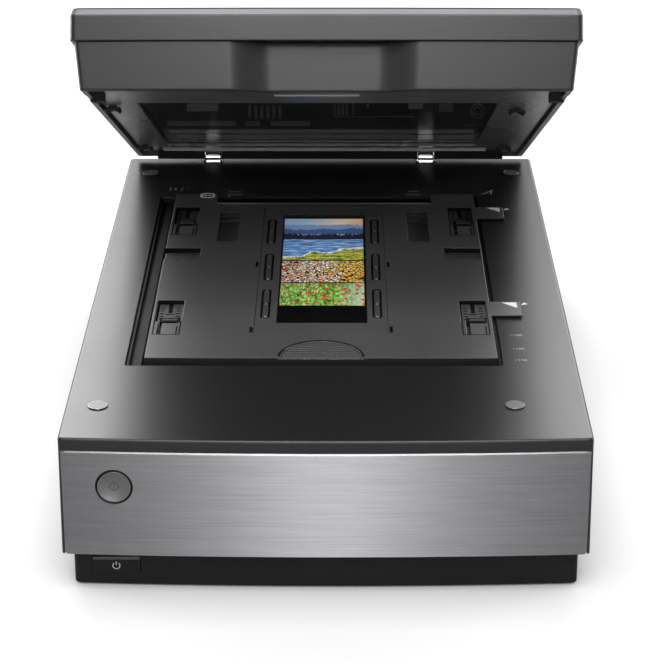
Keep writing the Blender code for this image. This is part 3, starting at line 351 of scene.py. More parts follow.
def lathed(name, profile, centre, axis=2, sides=48, joined=False):
    """Turned form: profile holds (radius, height along the axis) and is swept round the axis."""
    profile = np.asarray(profile, float)
    turn = 2 * np.pi * np.arange(sides) / sides
    rings = np.zeros((len(profile), sides, 3))
    first, second = [k for k in range(3) if k != axis]
    rings[..., first] = profile[:, :1] * np.cos(turn)
    rings[..., second] = profile[:, :1] * np.sin(turn)
    rings[..., axis] = profile[:, 1:]
    return skinned(name, rings + np.array(centre), joined)


def carved(piece, *cutters):
    """The piece less its cutters, which are used up."""
    for cutter in cutters:
        cut = piece.modifiers.new("cut", "BOOLEAN")
        cut.operation = "DIFFERENCE"
        cut.solver = "EXACT"
        cut.object = cutter
    graph = bpy.context.evaluated_depsgraph_get()
    mesh = bpy.data.meshes.new_from_object(piece.evaluated_get(graph))
    piece.modifiers.clear()
    piece.data = mesh
    for cutter in cutters:
        bpy.data.objects.remove(cutter)
    return piece


def round_edge(radius, steps=5):
    """Insets and drops of a quarter-round edge, from the side wall up to the top face."""
    turn = np.linspace(0, np.pi / 2, steps)
    return list(zip(radius * (1 - np.cos(turn)), radius * (1 - np.sin(turn))))


def case_ring(grow, ends, z):
    """The case's plan at height z, grown in x and at its ends in y."""
    corner = COVER_CORNER + min(grow, 0.0)
    half = CASE_HALF + grow
    return level(rounded(-half, half, at(-ends), at(CASE_DEPTH + ends), corner, CASE_BOW), z)


def well_ring(grow, z):
    """The well's plan at height z, grown all round."""
    (x0, y0, _), (x1, y1, _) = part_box("glass_frame")
    inset = WELL_FLANGE - grow
    return level(rounded(x0 + inset, x1 - inset, y0 + inset, y1 - inset, WELL_CORNER + grow), z)


rings = [case_ring(COVER_FLARE, 0.0, cover_foot), case_ring(0.0, 0.0, lip_z)]
rings += [case_ring(-inset, -inset, top_z - drop) for inset, drop in round_edge(COVER_ROUND)]
rings += [well_ring(WELL_ROUND - inset, top_z - drop) for inset, drop in reversed(round_edge(WELL_ROUND))]
rings += [well_ring(0.0, top_z - COVER_PLATE), case_ring(-COVER_WALL, -COVER_WALL, top_z - COVER_PLATE)]
rings += [case_ring(-COVER_WALL, -COVER_WALL, cover_foot)]
cover = skinned("cover_shell", rings, joined=True)

PAST = 0.01
CAP_RADIUS = 0.006
CAP_SEAT = 0.0012
SEAT_RADIUS = CAP_RADIUS + 0.00012
SLOT = (0.0152, 0.0092)
RABBET_DEPTH = 0.0023
FASCIA_BORDER = 0.0011
REAR_CUT = 0.004
PORT_CLEAR = 0.0003
cap_spots = {name: middle_of(name) for name in frame["nodes"] if name.startswith("cap_")}
cutters = [
    lathed("seat", [(SEAT_RADIUS, -CAP_SEAT), (SEAT_RADIUS, PAST)], (spot.x, spot.y, top_z), sides=40)
    for spot in cap_spots.values()
]
post_spots = {side: middle_of("hinge_post_" + side) for side in ("left", "right")}
slots = [((FASCIA_BORDER - CASE_HALF, CASE_HALF - FASCIA_BORDER), (at(-2 * PAST), at(RABBET_DEPTH)),
          (cover_foot - PAST, lip_z))]
slots += [(about(spot.x, SLOT[0]), about(post_spots["left"].y, SLOT[1]), (lip_z, top_z + PAST))
          for spot in post_spots.values()]
rear_cut = at(CASE_DEPTH - REAR_CUT)
for name in ("power_inlet", "usb_port"):
    low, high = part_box(name)
    slots.append(((low.x - PORT_CLEAR, high.x + PORT_CLEAR), (rear_cut, at(CASE_DEPTH + PAST)),
                  (low.z - PORT_CLEAR, high.z + PORT_CLEAR)))
low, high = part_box("option_port")
socket_radius = (high.x - low.x) / 2 + PORT_CLEAR
socket_spot = ((low.x + high.x) / 2, rear_cut, (low.z + high.z) / 2)
cutters.append(lathed("seat", [(socket_radius, 0), (socket_radius, 2 * PAST)], socket_spot, axis=1))
softened(carved(cover, blocks("slots", *slots), *cutters), 0.0003)


def make_upward_group():
    """Upward faces: a mask that rises from nought to one as a face's upward share goes from Start to End."""
    tree, entry, leave = new_group("upward_faces", {"Start": 0.15, "End": 0.45}, ("Mask",))
    place, split = new_node(tree, "TexCoord"), new_node(tree, "SeparateXYZ")
    fade = new_node(tree, "MapRange")
    wire(tree, (place, "Normal", split, 0), (split, "Z", fade, "Value"), (entry, "Start", fade, "From Min"),
         (entry, "End", fade, "From Max"), (fade, 0, leave, "Mask"))
    return tree


upward_group = make_upward_group()


def painted_wall_shade(material, wall, wall_roughness, wall_gloss=0.12, limits=(0.15, 0.45)):
    """Paints shade onto a moulded material's upright walls: a darker colour, duller gloss and weaker
    reflection than on its faces that look up.
    """
    tree = material.node_tree
    shader = tree.nodes["Principled BSDF"]
    upper, gloss = (shader.inputs[name].links[0].from_socket for name in ("Base Color", "Roughness"))
    upward = new_node(tree, "Group", node_tree=upward_group)
    preset(upward, Start=limits[0], End=limits[1])
    shade = mixed(tree, wall)
    dull = ranged(tree, 0.0, 1.0, wall_roughness)
    sheen = ranged(tree, 0.0, 1.0, wall_gloss, 0.5)
    tree.links.new(upper, shade.inputs["B"])
    tree.links.new(gloss, dull.inputs["To Max"])
    wire(tree, (upward, "Mask", shade, "Factor"), (upward, "Mask", dull, "Value"),
         (upward, "Mask", sheen, "Value"), (shade, "Result", shader, "Base Color"),
         (dull, 0, shader, "Roughness"), (sheen, 0, shader, "Specular IOR Level"))


pearl_paint = moulded("pearl_paint", grey(0.013, 0.0005), 0.34, grain=5000.0, depth=0.015, mottle=0.08,
                      sheen_break=0.012, dust=0.05, ior=1.55)
# Painted shade: the cover's walls, its lip and the well's rounded edge among them, are darker and less glossy
# than its top.
painted_wall_shade(pearl_paint, grey(0.005, 0.0005), 0.46, wall_gloss=0.50, limits=(0.55, 0.90))
placed(cover, pearl_paint, "dark_cover", "base", "top_cover")


# ---- Caps over the cover's screws ----
# Four flat plugs in silver-grey paint, each pressed tight into a round seat. Painted shade darkens their
# sides, and a thin rim in lighter metal is a painted highlight.

CAP_RISE = 0.0007
CAP_RIM = 0.0004
CAP_CORNER = 0.0002
CAP_GAP = 0.0003
RIM_PROUD = 0.00006
RIM_SUNK = 0.0001
cap_paint = moulded("cap_paint", grey(0.14, 0.003), 0.36, grain=5000.0, depth=0.015, mottle=0.06, dust=0.03)
# Painted shade on the plugs' sides.
painted_wall_shade(cap_paint, grey(0.004), 0.8)
# Painted highlight: the rim is a lighter metal than the cap, standing for the light its edge catches.
rim_highlight_paint = moulded("rim_highlight_paint", grey(0.36, 0.01), 0.24, grain=5000.0, depth=0.01, metallic=0.8)
plug = [(CAP_RADIUS, CAP_GAP - CAP_SEAT)]
plug += [(CAP_RADIUS - inset, CAP_RISE - drop) for inset, drop in round_edge(CAP_CORNER, 4)]
rim = [(CAP_RADIUS - CAP_RIM, CAP_RISE - RIM_SUNK), (CAP_RADIUS - CAP_RIM, CAP_RISE + RIM_PROUD),
       (CAP_RADIUS - CAP_RIM / 2, CAP_RISE + RIM_PROUD), (CAP_RADIUS, CAP_RISE - RIM_SUNK)]
for name, spot in cap_spots.items():
    seat = (spot.x, spot.y, top_z)
    placed(softened(lathed(name + "_plug", plug, seat), 0.00005), cap_paint, "silver_button", "base", name)
    rim_ring = softened(lathed(name + "_rim", rim, seat, joined=True), 0.00004)
    placed(rim_ring, rim_highlight_paint, "silver_button", "base")


# ---- Fascia ----
# A sheet of aluminium, brushed lengthwise and anodised dark, bent to the bow of the case, with a bright
# diamond-cut chamfer along its top edge. It is taped to the tray's front wall.

FASCIA_SHEET = 0.002
FASCIA_CORNER = 0.0022
CHAMFER_RISE = 0.0012
CHAMFER_RUN = 0.0009
CHAMFER_START = (0.00015, 0.0004)
CLEAR = 0.0003
fascia_half = CASE_HALF - FASCIA_BORDER - CLEAR
flat_half = fascia_half - FASCIA_CORNER
head = lip_z - CLEAR
cut_z = head - CHAMFER_RISE


def bent(x, back, z):
    """A row of points back behind the case's front, which stands forward by CASE_BOW * (1 - u^2)."""
    bow = CASE_BOW * (1 - (x / (CASE_HALF - COVER_CORNER)) ** 2)
    return np.column_stack([x, at(back) - bow, np.broadcast_to(z, x.shape)])


edge = FASCIA_CORNER * np.sin(np.linspace(0, np.pi / 2, 7))
flat_x = np.linspace(-flat_half, flat_half, 61)
x = np.concatenate([-flat_half - edge[::-1], flat_x[1:-1], flat_half + edge])
past = np.clip(np.abs(x) - flat_half, 0, FASCIA_CORNER)
foot = cover_foot + FASCIA_CORNER - np.sqrt(FASCIA_CORNER**2 - past**2)
profile = [(0.0, foot), (0.0, cut_z - CHAMFER_START[1]), (CHAMFER_START[0], cut_z), (CHAMFER_RUN, head),
           (FASCIA_SHEET, head), (FASCIA_SHEET, foot)]
fascia = skinned("fascia_sheet", np.stack([bent(x, back, z) for back, z in profile], 1))
start_low, start_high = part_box("start_button")
start_spot = ((start_low.x + start_high.x) / 2, start_low.y, (start_low.z + start_high.z) / 2)
ring_low, ring_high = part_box("start_ring")
ring_out = (ring_high.x - ring_low.x) / 2
start_hole = ring_out + CLEAR
carved(fascia, lathed("hole", [(start_hole, -PAST), (start_hole, PAST)], start_spot, axis=1, sides=64))


def add_uv(piece, name, spots):
    """A UV map from each corner's place, worked out by spots(places)."""
    places = np.array([piece.data.vertices[loop.vertex_index].co for loop in piece.data.loops])
    piece.data.uv_layers.new(name=name).data.foreach_set("uv", spots(places).ravel())


add_uv(fascia, "grain_run", lambda places: places[:, [0, 2]])
softened(fascia, 0.0002)


def make_brush_group():
    """Brushing: long fine streaks along X, in two widths, for height and for tone."""
    tree, _, leave = new_group("brushing", {}, ("Height", "Tone"))
    place = new_node(tree, "TexCoord")
    fine, broad = noise(tree, 1.0, 3.0, 0.6), noise(tree, 1.0, 4.0, 0.65)
    for streaks, across, along in ((fine, 3200.0, 40.0), (broad, 1300.0, 18.0)):
        stretch = preset(new_node(tree, "Mapping"), Scale=(along, along, across))
        wire(tree, (place, "Object", stretch, "Vector"), (stretch, 0, streaks, "Vector"))
    both = calc(tree, "ADD", fine.outputs["Fac"], broad.outputs["Fac"])
    tree.links.new(both, leave.inputs["Height"])
    wire(tree, (broad, "Fac", leave, "Tone"))
    return tree


brush_group = make_brush_group()


def brushed(name, dark, light, roughness, depth, anisotropy):
    """Brushed metal: streaks in the normal, and a little in tone and gloss."""
    material, tree, shader = blank(name)
    preset(shader, Metallic=1.0, Anisotropic=anisotropy, Anisotropic_Rotation=0.25)
    run = new_node(tree, "Tangent", direction_type="UV_MAP", uv_map="grain_run")
    streaks = new_node(tree, "Group", node_tree=brush_group)
    bump = preset(new_node(tree, "Bump"), Strength=depth, Distance=0.0004)
    tone, shade = ranged(tree, 0.3, 0.7), mixed(tree, dark, light)
    gloss = ranged(tree, 0.0, 1.0, roughness - 0.05, roughness + 0.05)
    wire(tree, (streaks, "Height", bump, "Height"), (bump, "Normal", shader, "Normal"),
         (streaks, "Tone", tone, "Value"), (tone, 0, shade, "Factor"),
         (shade, "Result", shader, "Base Color"), (streaks, "Tone", gloss, "Value"),
         (gloss, 0, shader, "Roughness"), (run, "Tangent", shader, "Tangent"))
    return material


brushed_sheet = brushed("brushed_sheet", (0.23, 0.23, 0.24), (0.295, 0.295, 0.307), 0.40, 0.10, 1.0)
placed(fascia, brushed_sheet, "brushed_metal", "base", "front_fascia")

CUT_PROUD = 0.00004
CUT_DEPTH = 0.0001
cut_foot, cut_head = (0.0002, cut_z + 0.0001), (CHAMFER_RUN, head - 0.00005)
cut_face = [(*cut_foot, CUT_PROUD), (*cut_head, CUT_PROUD), (*cut_head, -CUT_DEPTH), (*cut_foot, -CUT_DEPTH)]
rows = [bent(flat_x, back - out, z + out) for back, z, out in cut_face]
cut_edge = skinned("fascia_cut_edge", np.stack(rows, 1))
cut_metal = moulded("cut_metal", grey(0.34, 0.01), 0.34, grain=900.0, depth=0.005, metallic=1.0, mottle=0.03,
                    sheen_break=0.01)
placed(cut_edge, cut_metal, "brushed_metal", "base")


# ---- Start button ----
# A silver-coated disc with a dished face in a thin black ring. It is pushed in against a switch on the tray,
# and carries the usual start sign, a diamond with a bar, printed in grey-green.

START_RADIUS = (start_high.x - start_low.x) / 2
START_DISH = 0.0013
DISH_SHARE = 0.95
BUTTON_EDGE = (0.985, 0.0003)
RING_DEPTH = 0.0038
RING_DISH = 0.0006
t = np.linspace(0.02, 1, 12)
face = np.column_stack([START_RADIUS * t * DISH_SHARE, START_DISH * (1 - t**2)])
side = [(START_RADIUS * BUTTON_EDGE[0], 0.0), (START_RADIUS, BUTTON_EDGE[1]),
        (START_RADIUS, start_high.y - start_low.y)]
button = softened(lathed("start_disc", np.vstack([face, side]), start_spot, axis=1, sides=64), 0.0001)
satin_silver = moulded("satin_silver", grey(0.21, 0.005), 0.46, grain=3000.0, depth=0.03, metallic=0.9,
                       mottle=0.05)
placed(button, satin_silver, "silver_button", "start_button", "start_button")

ring_in = START_RADIUS + CLEAR
surround = [(ring_in, RING_DISH), (ring_in + 0.0002, 0.0001), (ring_out - 0.0001, 0.0), (ring_out, 0.0002),
            (ring_out, RING_DEPTH), (ring_in, RING_DEPTH)]
ring_spot = (start_spot[0], ring_low.y, start_spot[2])
start_ring = lathed("start_surround", surround, ring_spot, axis=1, sides=64, joined=True)
satin_black = moulded("satin_black", grey(0.011, 0.0005), 0.55, grain=1600.0, depth=0.08, dust=0.06,
                      ior=1.33)
placed(softened(start_ring, 0.0001), satin_black, "satin_black", "base", "start_ring")


def printed(name, colour):
    """Thin opaque print or moulded-in colour with a trace of uneven ink."""
    return moulded(name, colour, 0.5, grain=2500.0, depth=0.02, mottle=0.08)


def tracks(name, paths, width, lay):
    """Thin raised lines: each path of (u, v) points gets a band of that width, one print layer thick.
    lay(u, v, w) gives the points in space, w being 0 on the surface and 1 on the ink."""
    grids = []
    for path in paths:
        path = np.asarray(path, float)
        ahead = np.gradient(path, axis=0)
        ahead /= np.linalg.norm(ahead, axis=1)[:, None]
        side = np.stack([-ahead[:, 1], ahead[:, 0]], 1) * width / 2
        band = [(path + side, 0), (path + side, 1), (path - side, 1), (path - side, 0)]
        grids.append(np.stack([lay(p[:, 0], p[:, 1], w) for p, w in band], 1))
    return skins(name, grids)


INK = 0.00006
BITE = 0.00002


def on_face(spot, dish=0.0):
    """Places (u, v, w) on an upright face at spot that may be dished by dish * (1 - r^2)."""
    def lay(u, v, w):
        depth = dish * (1 - (u**2 + v**2) / (DISH_SHARE * START_RADIUS) ** 2)
        return np.stack([spot[0] + u, spot[1] + depth + BITE - (INK + BITE) * w, spot[2] + v], 1)
    return lay


def stroke(start, end):
    """A straight line of nine points."""
    s = np.linspace(0, 1, 9)[:, None]
    return np.array([start]) * (1 - s) + np.array([end]) * s


SIGN = 0.0030
SIGN_BAR = 0.0014
tips = [(0, SIGN), (SIGN, 0), (0, -SIGN), (-SIGN, 0), (0, SIGN)]
strokes = [stroke(tips[k], tips[k + 1]) for k in range(4)] + [stroke((0, -SIGN_BAR), (0, SIGN_BAR))]
sign = tracks("start_sign", strokes, 0.0005, on_face(start_spot, START_DISH))
placed(sign, printed("sign_ink", (0.035, 0.075, 0.070)), "silver_button", "start_button")


# ---- Power button ----
# A black key in the tray's front with a sloping top edge, along which a lighter strip is a painted highlight.
# The on and off sign is printed in light grey.

EDGE_DROP = 0.0013
EDGE_INSET = 0.0004
EDGE_PROUD = 0.00005
EDGE_RUN = (0.0008, 0.0013)
POWER_SIGN = 0.0021
POWER_STROKE = (0.0004, 0.0028)
eased("power_button", "power_button", black_pan, "black_plastic", 0.0003)
power_low, power_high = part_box("power_button")
key_slope = [(-EDGE_PROUD, -EDGE_DROP), (EDGE_RUN[0], EDGE_PROUD), (EDGE_RUN[1], EDGE_PROUD),
             (EDGE_RUN[1], -EDGE_DROP)]
rows = [[(x, power_low.y + back, power_high.z + rise) for back, rise in key_slope]
        for x in (power_low.x + EDGE_INSET, power_high.x - EDGE_INSET)]
# Painted highlight: the strip along the key's top edge is far lighter than the black key.
key_edge_highlight = moulded("key_edge_highlight", grey(0.15, 0.003), 0.35, grain=1500.0)
placed(softened(skinned("power_key_edge", rows), 0.0001), key_edge_highlight, "black_plastic", "power_button")
power_middle = middle_of("power_button")
turn = np.radians(np.linspace(130, 410, 29))
arc = POWER_SIGN * np.stack([np.cos(turn), np.sin(turn)], 1)
upright = stroke((0, POWER_STROKE[0]), (0, POWER_STROKE[1]))
sign_spot = (power_middle.x, power_low.y, power_middle.z - EDGE_INSET)
power_sign = tracks("power_sign", [arc, upright], 0.00055, on_face(sign_spot))
placed(power_sign, printed("light_ink", grey(0.55)), "lamp_white", "power_button")


# ---- Frame, glass and what lies under it ----
# A stepped black frame holds down a sheet of clear float glass with a breath of haze. Under it the carriage
# with its lamp runs on a ground steel rod, pulled by a belt; motor and board sit on the tray's floor.

HAZE = (0.02, 0.08)
eased("glass_frame", "base", satin_black, "satin_black", 0.0003)
float_glass, tree, shader = blank("float_glass")
preset(shader, Base_Color=(0.93, 0.97, 0.96, 1.0), Transmission_Weight=1.0, IOR=1.5)
place, haze, blur = new_node(tree, "TexCoord"), noise(tree, 11.0, 4.0), ranged(tree, 0.0, 1.0, *HAZE)
wire(tree, (place, "Object", haze, "Vector"), (haze, "Fac", blur, "Value"), (blur, 0, shader, "Roughness"))


def machined(name, colour, roughness, grain=600.0, depth=0.05):
    """Bare or plated metal with faint drawing marks."""
    return moulded(name, colour, roughness, grain, depth, metallic=1.0, mottle=0.06, sheen_break=0.03)


ground_steel = machined("ground_steel", grey(0.56, 0.01), 0.25)
belt_rubber = moulded("belt_rubber", grey(0.02), 0.8, grain=700.0, depth=0.3, dust=0.25)
lacquered_board = moulded("lacquered_board", (0.015, 0.09, 0.035), 0.35, grain=300.0, depth=0.1, dust=0.25)
diffuser = moulded("diffuser", grey(0.8, -0.03), 0.5, grain=1200.0, depth=0.03, mottle=0.03)
cad_finish(float_glass, "platen_glass")
cad_finish(ground_steel, "guide_rod", "scan_motor")
cad_finish(belt_rubber, "drive_belt")
cad_finish(satin_black, "drive_pulley", "idler_pulley")
cad_finish(lacquered_board, "main_board")
cad_finish(diffuser, "scan_lamp")
eased("scan_carriage", "scan_carriage", satin_black, "satin_black", 0.0008)


# ---- Sockets on the rear wall ----
# Mains inlet with three blades, square data socket and round accessory socket, each let into the rear wall.

BLADE = (0.0020, 0.0110, 0.0045)
BLADE_ROOT = 0.0005
BLADE_BACK = 0.0140
BLADE_SPOTS = ((-0.0070, -0.0015), (0.0, 0.0025), (0.0070, -0.0015))
eased("power_inlet", "base", black_pan, "black_plastic", 0.0005)
eased("usb_port", "base", ground_steel, "steel", 0.0003)
eased("option_port", "base", satin_black, "satin_black", 0.0002)
cad_finish(black_pan, "hinge_socket_left", "hinge_socket_right")
inlet = middle_of("power_inlet")
blade_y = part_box("power_inlet")[1].y - BLADE_BACK
blade_run = (blade_y - BLADE_ROOT, blade_y + BLADE[1])
blade_spans = [(about(inlet.x + u, BLADE[0]), blade_run, about(inlet.z + v, BLADE[2]))
               for u, v in BLADE_SPOTS]
plated = machined("plated", (0.72, 0.71, 0.69), 0.18, grain=900.0, depth=0.02)
placed(softened(blocks("inlet_blades", *blade_spans), 0.0003), plated, "steel", "base")


# ---- Hinges ----
# Plated posts slide up out of square sockets in the base, so that the lid can rise over a thick book. Each
# carries the lid on a pin through a folded bracket in dark nickel, and two plated bars on a black pad.

BAR_FRONT = 0.0036
BAR_WIDTH = 0.0108
BAR_HEIGHT = 0.0018
BAR_DEPTH = 0.0009
BAR_LEAN = 0.00045
BAR_FEET = {"lower": 0.0006, "upper": 0.0041}
PAD_EDGE = 0.0007
PAD_FACES = (0.0003, 0.0001)
PAD_ENDS = (0.0003, 0.0004)
lid_hinge = next(joint for joint in frame["joints"] if joint["name"] == "lid_hinge")
lid_angle = math.radians(-lid_hinge["range_deg"][0])
lid_pivot = Vector(lid_hinge["pos_m"])
dark_nickel = machined("dark_nickel", grey(0.025), 0.45, grain=900.0, depth=0.03)
bright_plate = moulded("bright_plate", grey(0.86), 0.30, grain=900.0, depth=0.01, metallic=0.9)
section = [(-BAR_DEPTH, 0.0), (-BAR_DEPTH + BAR_LEAN, BAR_HEIGHT), (0.0, BAR_HEIGHT), (0.0, 0.0)]
front = lid_pivot.y - BAR_FRONT
pad_z = (top_z + BAR_FEET["lower"] - PAD_ENDS[0], top_z + BAR_FEET["upper"] + BAR_HEIGHT + PAD_ENDS[1])
for side, spot in post_spots.items():
    eased("hinge_post_" + side, "hinge_posts", plated, "chrome", 0.0004)
    eased("hinge_bracket_" + side, "lid", dark_nickel, "chrome", 0.0003)
    for label, foot in BAR_FEET.items():
        rows = [[(x, front + back, top_z + foot + rise) for back, rise in section]
                for x in about(spot.x, BAR_WIDTH)]
        bar = softened(skinned("hinge_bar_" + side + "_" + label, rows), 0.00015)
        placed(bar, bright_plate, "chrome", "hinge_posts")
    pad = blocks("hinge_pad_" + side, (about(spot.x, BAR_WIDTH + 2 * PAD_EDGE),
                                       (front - PAD_FACES[0], front + PAD_FACES[1]), pad_z))
    placed(pad, black_pan, "satin_black", "hinge_posts")
cad_finish(plated, "hinge_pin_left", "hinge_pin_right")


# ---- Lid skirt ----
# The lower half of the lid: a deep frame in satin dark paint with a rounded rim, walls that lean out a
# little, and a smooth bay in its front for the fingers.

LID_CORNER = 0.0028
MOST_CORNER_GROWTH = 0.0007
LEAST_CORNER = 0.0005
LID_BOW = 0.002
SKIRT_FLARE = 0.0033
END_FLARE = 0.0003
RIM_ROUND = 0.0015
RIM_WIDTH = 0.0045
RIM_CHAMFER = 0.0004
SKIRT_WALL = 0.0024
GRIP_X = -0.0013
GRIP_HALF = 0.0448
GRIP_RAMP = 0.027
GRIP_DEPTH = 0.008
NOTCH_LENGTH = 0.034
NOTCH_HEIGHT = 0.0018
NOTCH_REACH = 0.2
to_pivot = Matrix.Translation(lid_pivot)
opened = to_pivot @ Matrix.Rotation(-lid_angle, 4, "X") @ to_pivot.inverted()
shut = opened.inverted()


def shut_box(node):
    """Lowest and highest corner of one of the lid's CAD nodes, with the lid turned back to shut."""
    points = np.array([shut @ v.co for v in frame["nodes"][node].data.vertices])
    return Vector(points.min(0)), Vector(points.max(0))


def lid_piece(piece, width):
    """A piece modelled on the shut lid, its edges softened, turned up to where the lid stands."""
    softened(piece, width).data.transform(opened)
    return piece


skirt_low, skirt_high = shut_box("lid_skirt")
plate_low, plate_high = shut_box("lid_inner_plate")
rim_z = skirt_low.z
lid_half = skirt_high.x - SKIRT_FLARE
lid_rear = skirt_high.y - END_FLARE
lid_front = skirt_low.y + END_FLARE + LID_BOW
skirt_top = skirt_high.z - rim_z
plate_top = plate_high.z - rim_z + CLEAR


def grip_dent(x):
    """Depth of the grip at x: a flat bay whose ramps follow 3t^2 - 2t^3."""
    t = np.clip((np.abs(x - GRIP_X) - GRIP_HALF + GRIP_RAMP / 2) / GRIP_RAMP, 0, 1)
    return GRIP_DEPTH * (1 - t * t * (3 - 2 * t))


def lid_ring(side, end, rise, dent=None):
    """The lid's plan grown by side in x and end in y, at a height over the rim."""
    corner = max(LID_CORNER + min(side, end, MOST_CORNER_GROWTH), LEAST_CORNER)
    plan = rounded(-lid_half - side, lid_half + side, lid_front - end, lid_rear + end, corner, LID_BOW, dent,
                   stations=181, steps=12)
    return level(plan, rim_z + rise)


inner = (SKIRT_FLARE - SKIRT_WALL, END_FLARE - SKIRT_WALL)
stages = [(-inset, -inset, drop) for inset, drop in reversed(round_edge(RIM_ROUND, 7))]
stages += [(SKIRT_FLARE, END_FLARE, skirt_top), (*inner, skirt_top),
           (RIM_ROUND - SKIRT_WALL, -SKIRT_WALL, plate_top + SKIRT_WALL),
           (-RIM_WIDTH, -RIM_WIDTH, plate_top), (-RIM_WIDTH, -RIM_WIDTH, RIM_CHAMFER),
           (RIM_CHAMFER - RIM_WIDTH, RIM_CHAMFER - RIM_WIDTH, 0)]
skirt = skinned("lid_skirt_shell", [lid_ring(*stage, grip_dent) for stage in stages], joined=True)
notch_y = shut_box("lid_stop_left")[0].y
notch = ((notch_y, notch_y + NOTCH_LENGTH), (rim_z - PAST, rim_z + NOTCH_HEIGHT))
notch_x = lid_half - RIM_WIDTH + CLEAR
notches = [((-NOTCH_REACH, -notch_x), *notch), ((notch_x, NOTCH_REACH), *notch)]
post_notch = ((lid_rear - 3 * RIM_WIDTH, lid_rear + 2 * PAST), (rim_z - PAST, plate_low.z))
notches += [(about(spot.x, SLOT[0]), *post_notch) for spot in post_spots.values()]
satin_paint = moulded("satin_paint", grey(0.022, 0.0012), 0.36, grain=2600.0, depth=0.04, mottle=0.05,
                      sheen_break=0.02, dust=0.08, ior=1.43)
carved(skirt, blocks("notches", *notches))
placed(lid_piece(skirt, 0.0002), satin_paint, "lid_paint", "lid", "lid_skirt")


# ---- Lid top shell ----
# The upper half of the lid: a shallow hat in the same paint whose lip stands out over the skirt, with a
# bevel round a flat top. A lilac-grey band along the bevel is a painted highlight for the light it catches
# from above.

LIP_PROUD = 0.0023
LIP_ROUND = 0.0006
LID_BEVEL = 0.0050
BEVEL_RUN = 0.0016
SHELL_WALL = 0.0028
shell_low, shell_high = shut_box("lid_top_shell")
shell_foot, shell_top = shell_low.z - rim_z, shell_high.z - rim_z
shoulder = shell_top - LID_BEVEL


def hat_ring(inset, rise):
    """The lip's plan drawn in by an inset."""
    return lid_ring(SKIRT_FLARE + LIP_PROUD - inset, END_FLARE + LIP_PROUD - inset, rise)


slope = [(0.0, -0.0008), (0.00006, -0.0002), (0.00022, 0.0004), (BEVEL_RUN - 0.00025, LID_BEVEL - 0.0010),
         (BEVEL_RUN + 0.0001, LID_BEVEL - 0.0004), (BEVEL_RUN + 0.0005, LID_BEVEL - 0.0001),
         (BEVEL_RUN + 0.0012, LID_BEVEL)]
rings = [lid_ring(*inner, shell_top - SHELL_WALL), lid_ring(*inner, shell_foot)]
rings += [hat_ring(inset, shell_foot + drop) for inset, drop in reversed(round_edge(LIP_ROUND))]
rings += [hat_ring(run, shoulder + rise) for run, rise in slope]
placed(lid_piece(skinned("lid_hat", rings), 0.0002), satin_paint, "lid_paint", "lid", "lid_top_shell")
BAND_PROUD = 0.00006
BAND_SUNK = 0.0001
band_foot, band_head = (0.0003, 0.0006), (BEVEL_RUN - 0.0003, LID_BEVEL - 0.0011)
stages = [(*band_foot, BAND_PROUD), (*band_head, BAND_PROUD), (*band_head, -BAND_SUNK),
          (*band_foot, -BAND_SUNK)]
rings = [hat_ring(run - out, shoulder + rise) for run, rise, out in stages]
band = skinned("lid_bevel_band", rings, joined=True)
# Painted highlight: the band is far lighter than the lid's paint.
bevel_highlight_paint = moulded("bevel_highlight_paint", grey(0.17, 0.02), 0.36, grain=2600.0, depth=0.02, mottle=0.04)
placed(lid_piece(band, 0.00002), bevel_highlight_paint, "lid_paint", "lid")


# ---- Lid underside ----
# A satin inner plate with raised mouldings round a smoked window, two rest blocks, the hooks for the mat
# and a strip of foam at the rear. Behind the window the light bar's carriage runs on its rail.

stop_rubber = moulded("stop_rubber", grey(0.006), 0.8, grain=900.0, depth=0.2)
under_paint = moulded("under_paint", grey(0.080, 0.002), 0.30, grain=2600.0, depth=0.01, mottle=0.05,
                      ior=2.35)
eased("lid_inner_plate", "lid", under_paint, "lid_paint", 0.0003)
smoked = moulded("smoked", grey(0.038, 0.001), 0.12, grain=3000.0, depth=0.005, sheen_break=0.02)
preset(smoked.node_tree.nodes["Principled BSDF"], Alpha=0.42)
cad_finish(smoked, "lid_window")
for name in list(frame["nodes"]):
    if name.startswith("lid_stop_"):
        eased(name, "lid", stop_rubber, "rubber", 0.0006)

CLAW = 0.001 * np.array([(-2.0, 0.0), (-3.4, 1.2), (-5.2, 0.9), (-5.8, 3.2), (-4.4, 4.9), (-1.0, 3.3),
                         (1.4, 3.3), (4.2, 4.9), (5.6, 3.4), (4.9, 1.0), (3.2, 1.3), (2.0, 0.0)])
CLAW_END = 0.85
CLAW_ROUND = 0.0015
CLAW_ROOT = 0.0002
HOOK_SHIFTS = {"front_left": -0.0045, "front_right": 0.0045, "rear_left": 0.0, "rear_right": 0.0}
for label, shift in HOOK_SHIFTS.items():
    name = "mat_hook_" + label
    low, high = shut_box(name)
    x, z = (low.x + high.x) / 2 + shift, high.z + CLAW_ROOT
    stages = ((low.y, CLAW_END), (low.y + CLAW_ROUND, 1.0), (high.y - CLAW_ROUND, 1.0), (high.y, CLAW_END))
    rows = [np.column_stack([x + CLAW[:, 0] * grow, np.full(len(CLAW), y), z - CLAW[:, 1] * grow])
            for y, grow in stages]
    placed(lid_piece(skinned(name + "_claws", rows), 0.0002), black_pan, "satin_black", "lid", name)

RIB_X = (-0.1265, 0.1180)
RIB_ROOT = 0.0002
# TRIM_BAR is a painted highlight: a light strip under the lid's front standing for the light an inner edge
# there catches.
TRIM_BAR = ((-0.0325, 0.0200), (-0.1115, -0.1105), 0.0006)
UNDER_RIBS = ((RIB_X, (0.2135, 0.2150), 0.0011), (RIB_X, (0.2030, 0.2040), 0.0005), TRIM_BAR)
rib_spans = [(x, y, (plate_low.z - drop, plate_low.z + RIB_ROOT)) for x, y, drop in UNDER_RIBS]
# Light grey for the rear ribs, and for the trim bar as a painted highlight.
light_ribs_and_highlight = moulded("light_ribs_and_highlight", grey(0.50, 0.005), 0.32, grain=2600.0, depth=0.03)
placed(lid_piece(blocks("lid_rear_ribs", *rib_spans), 0.0002), light_ribs_and_highlight, "lid_paint", "lid")

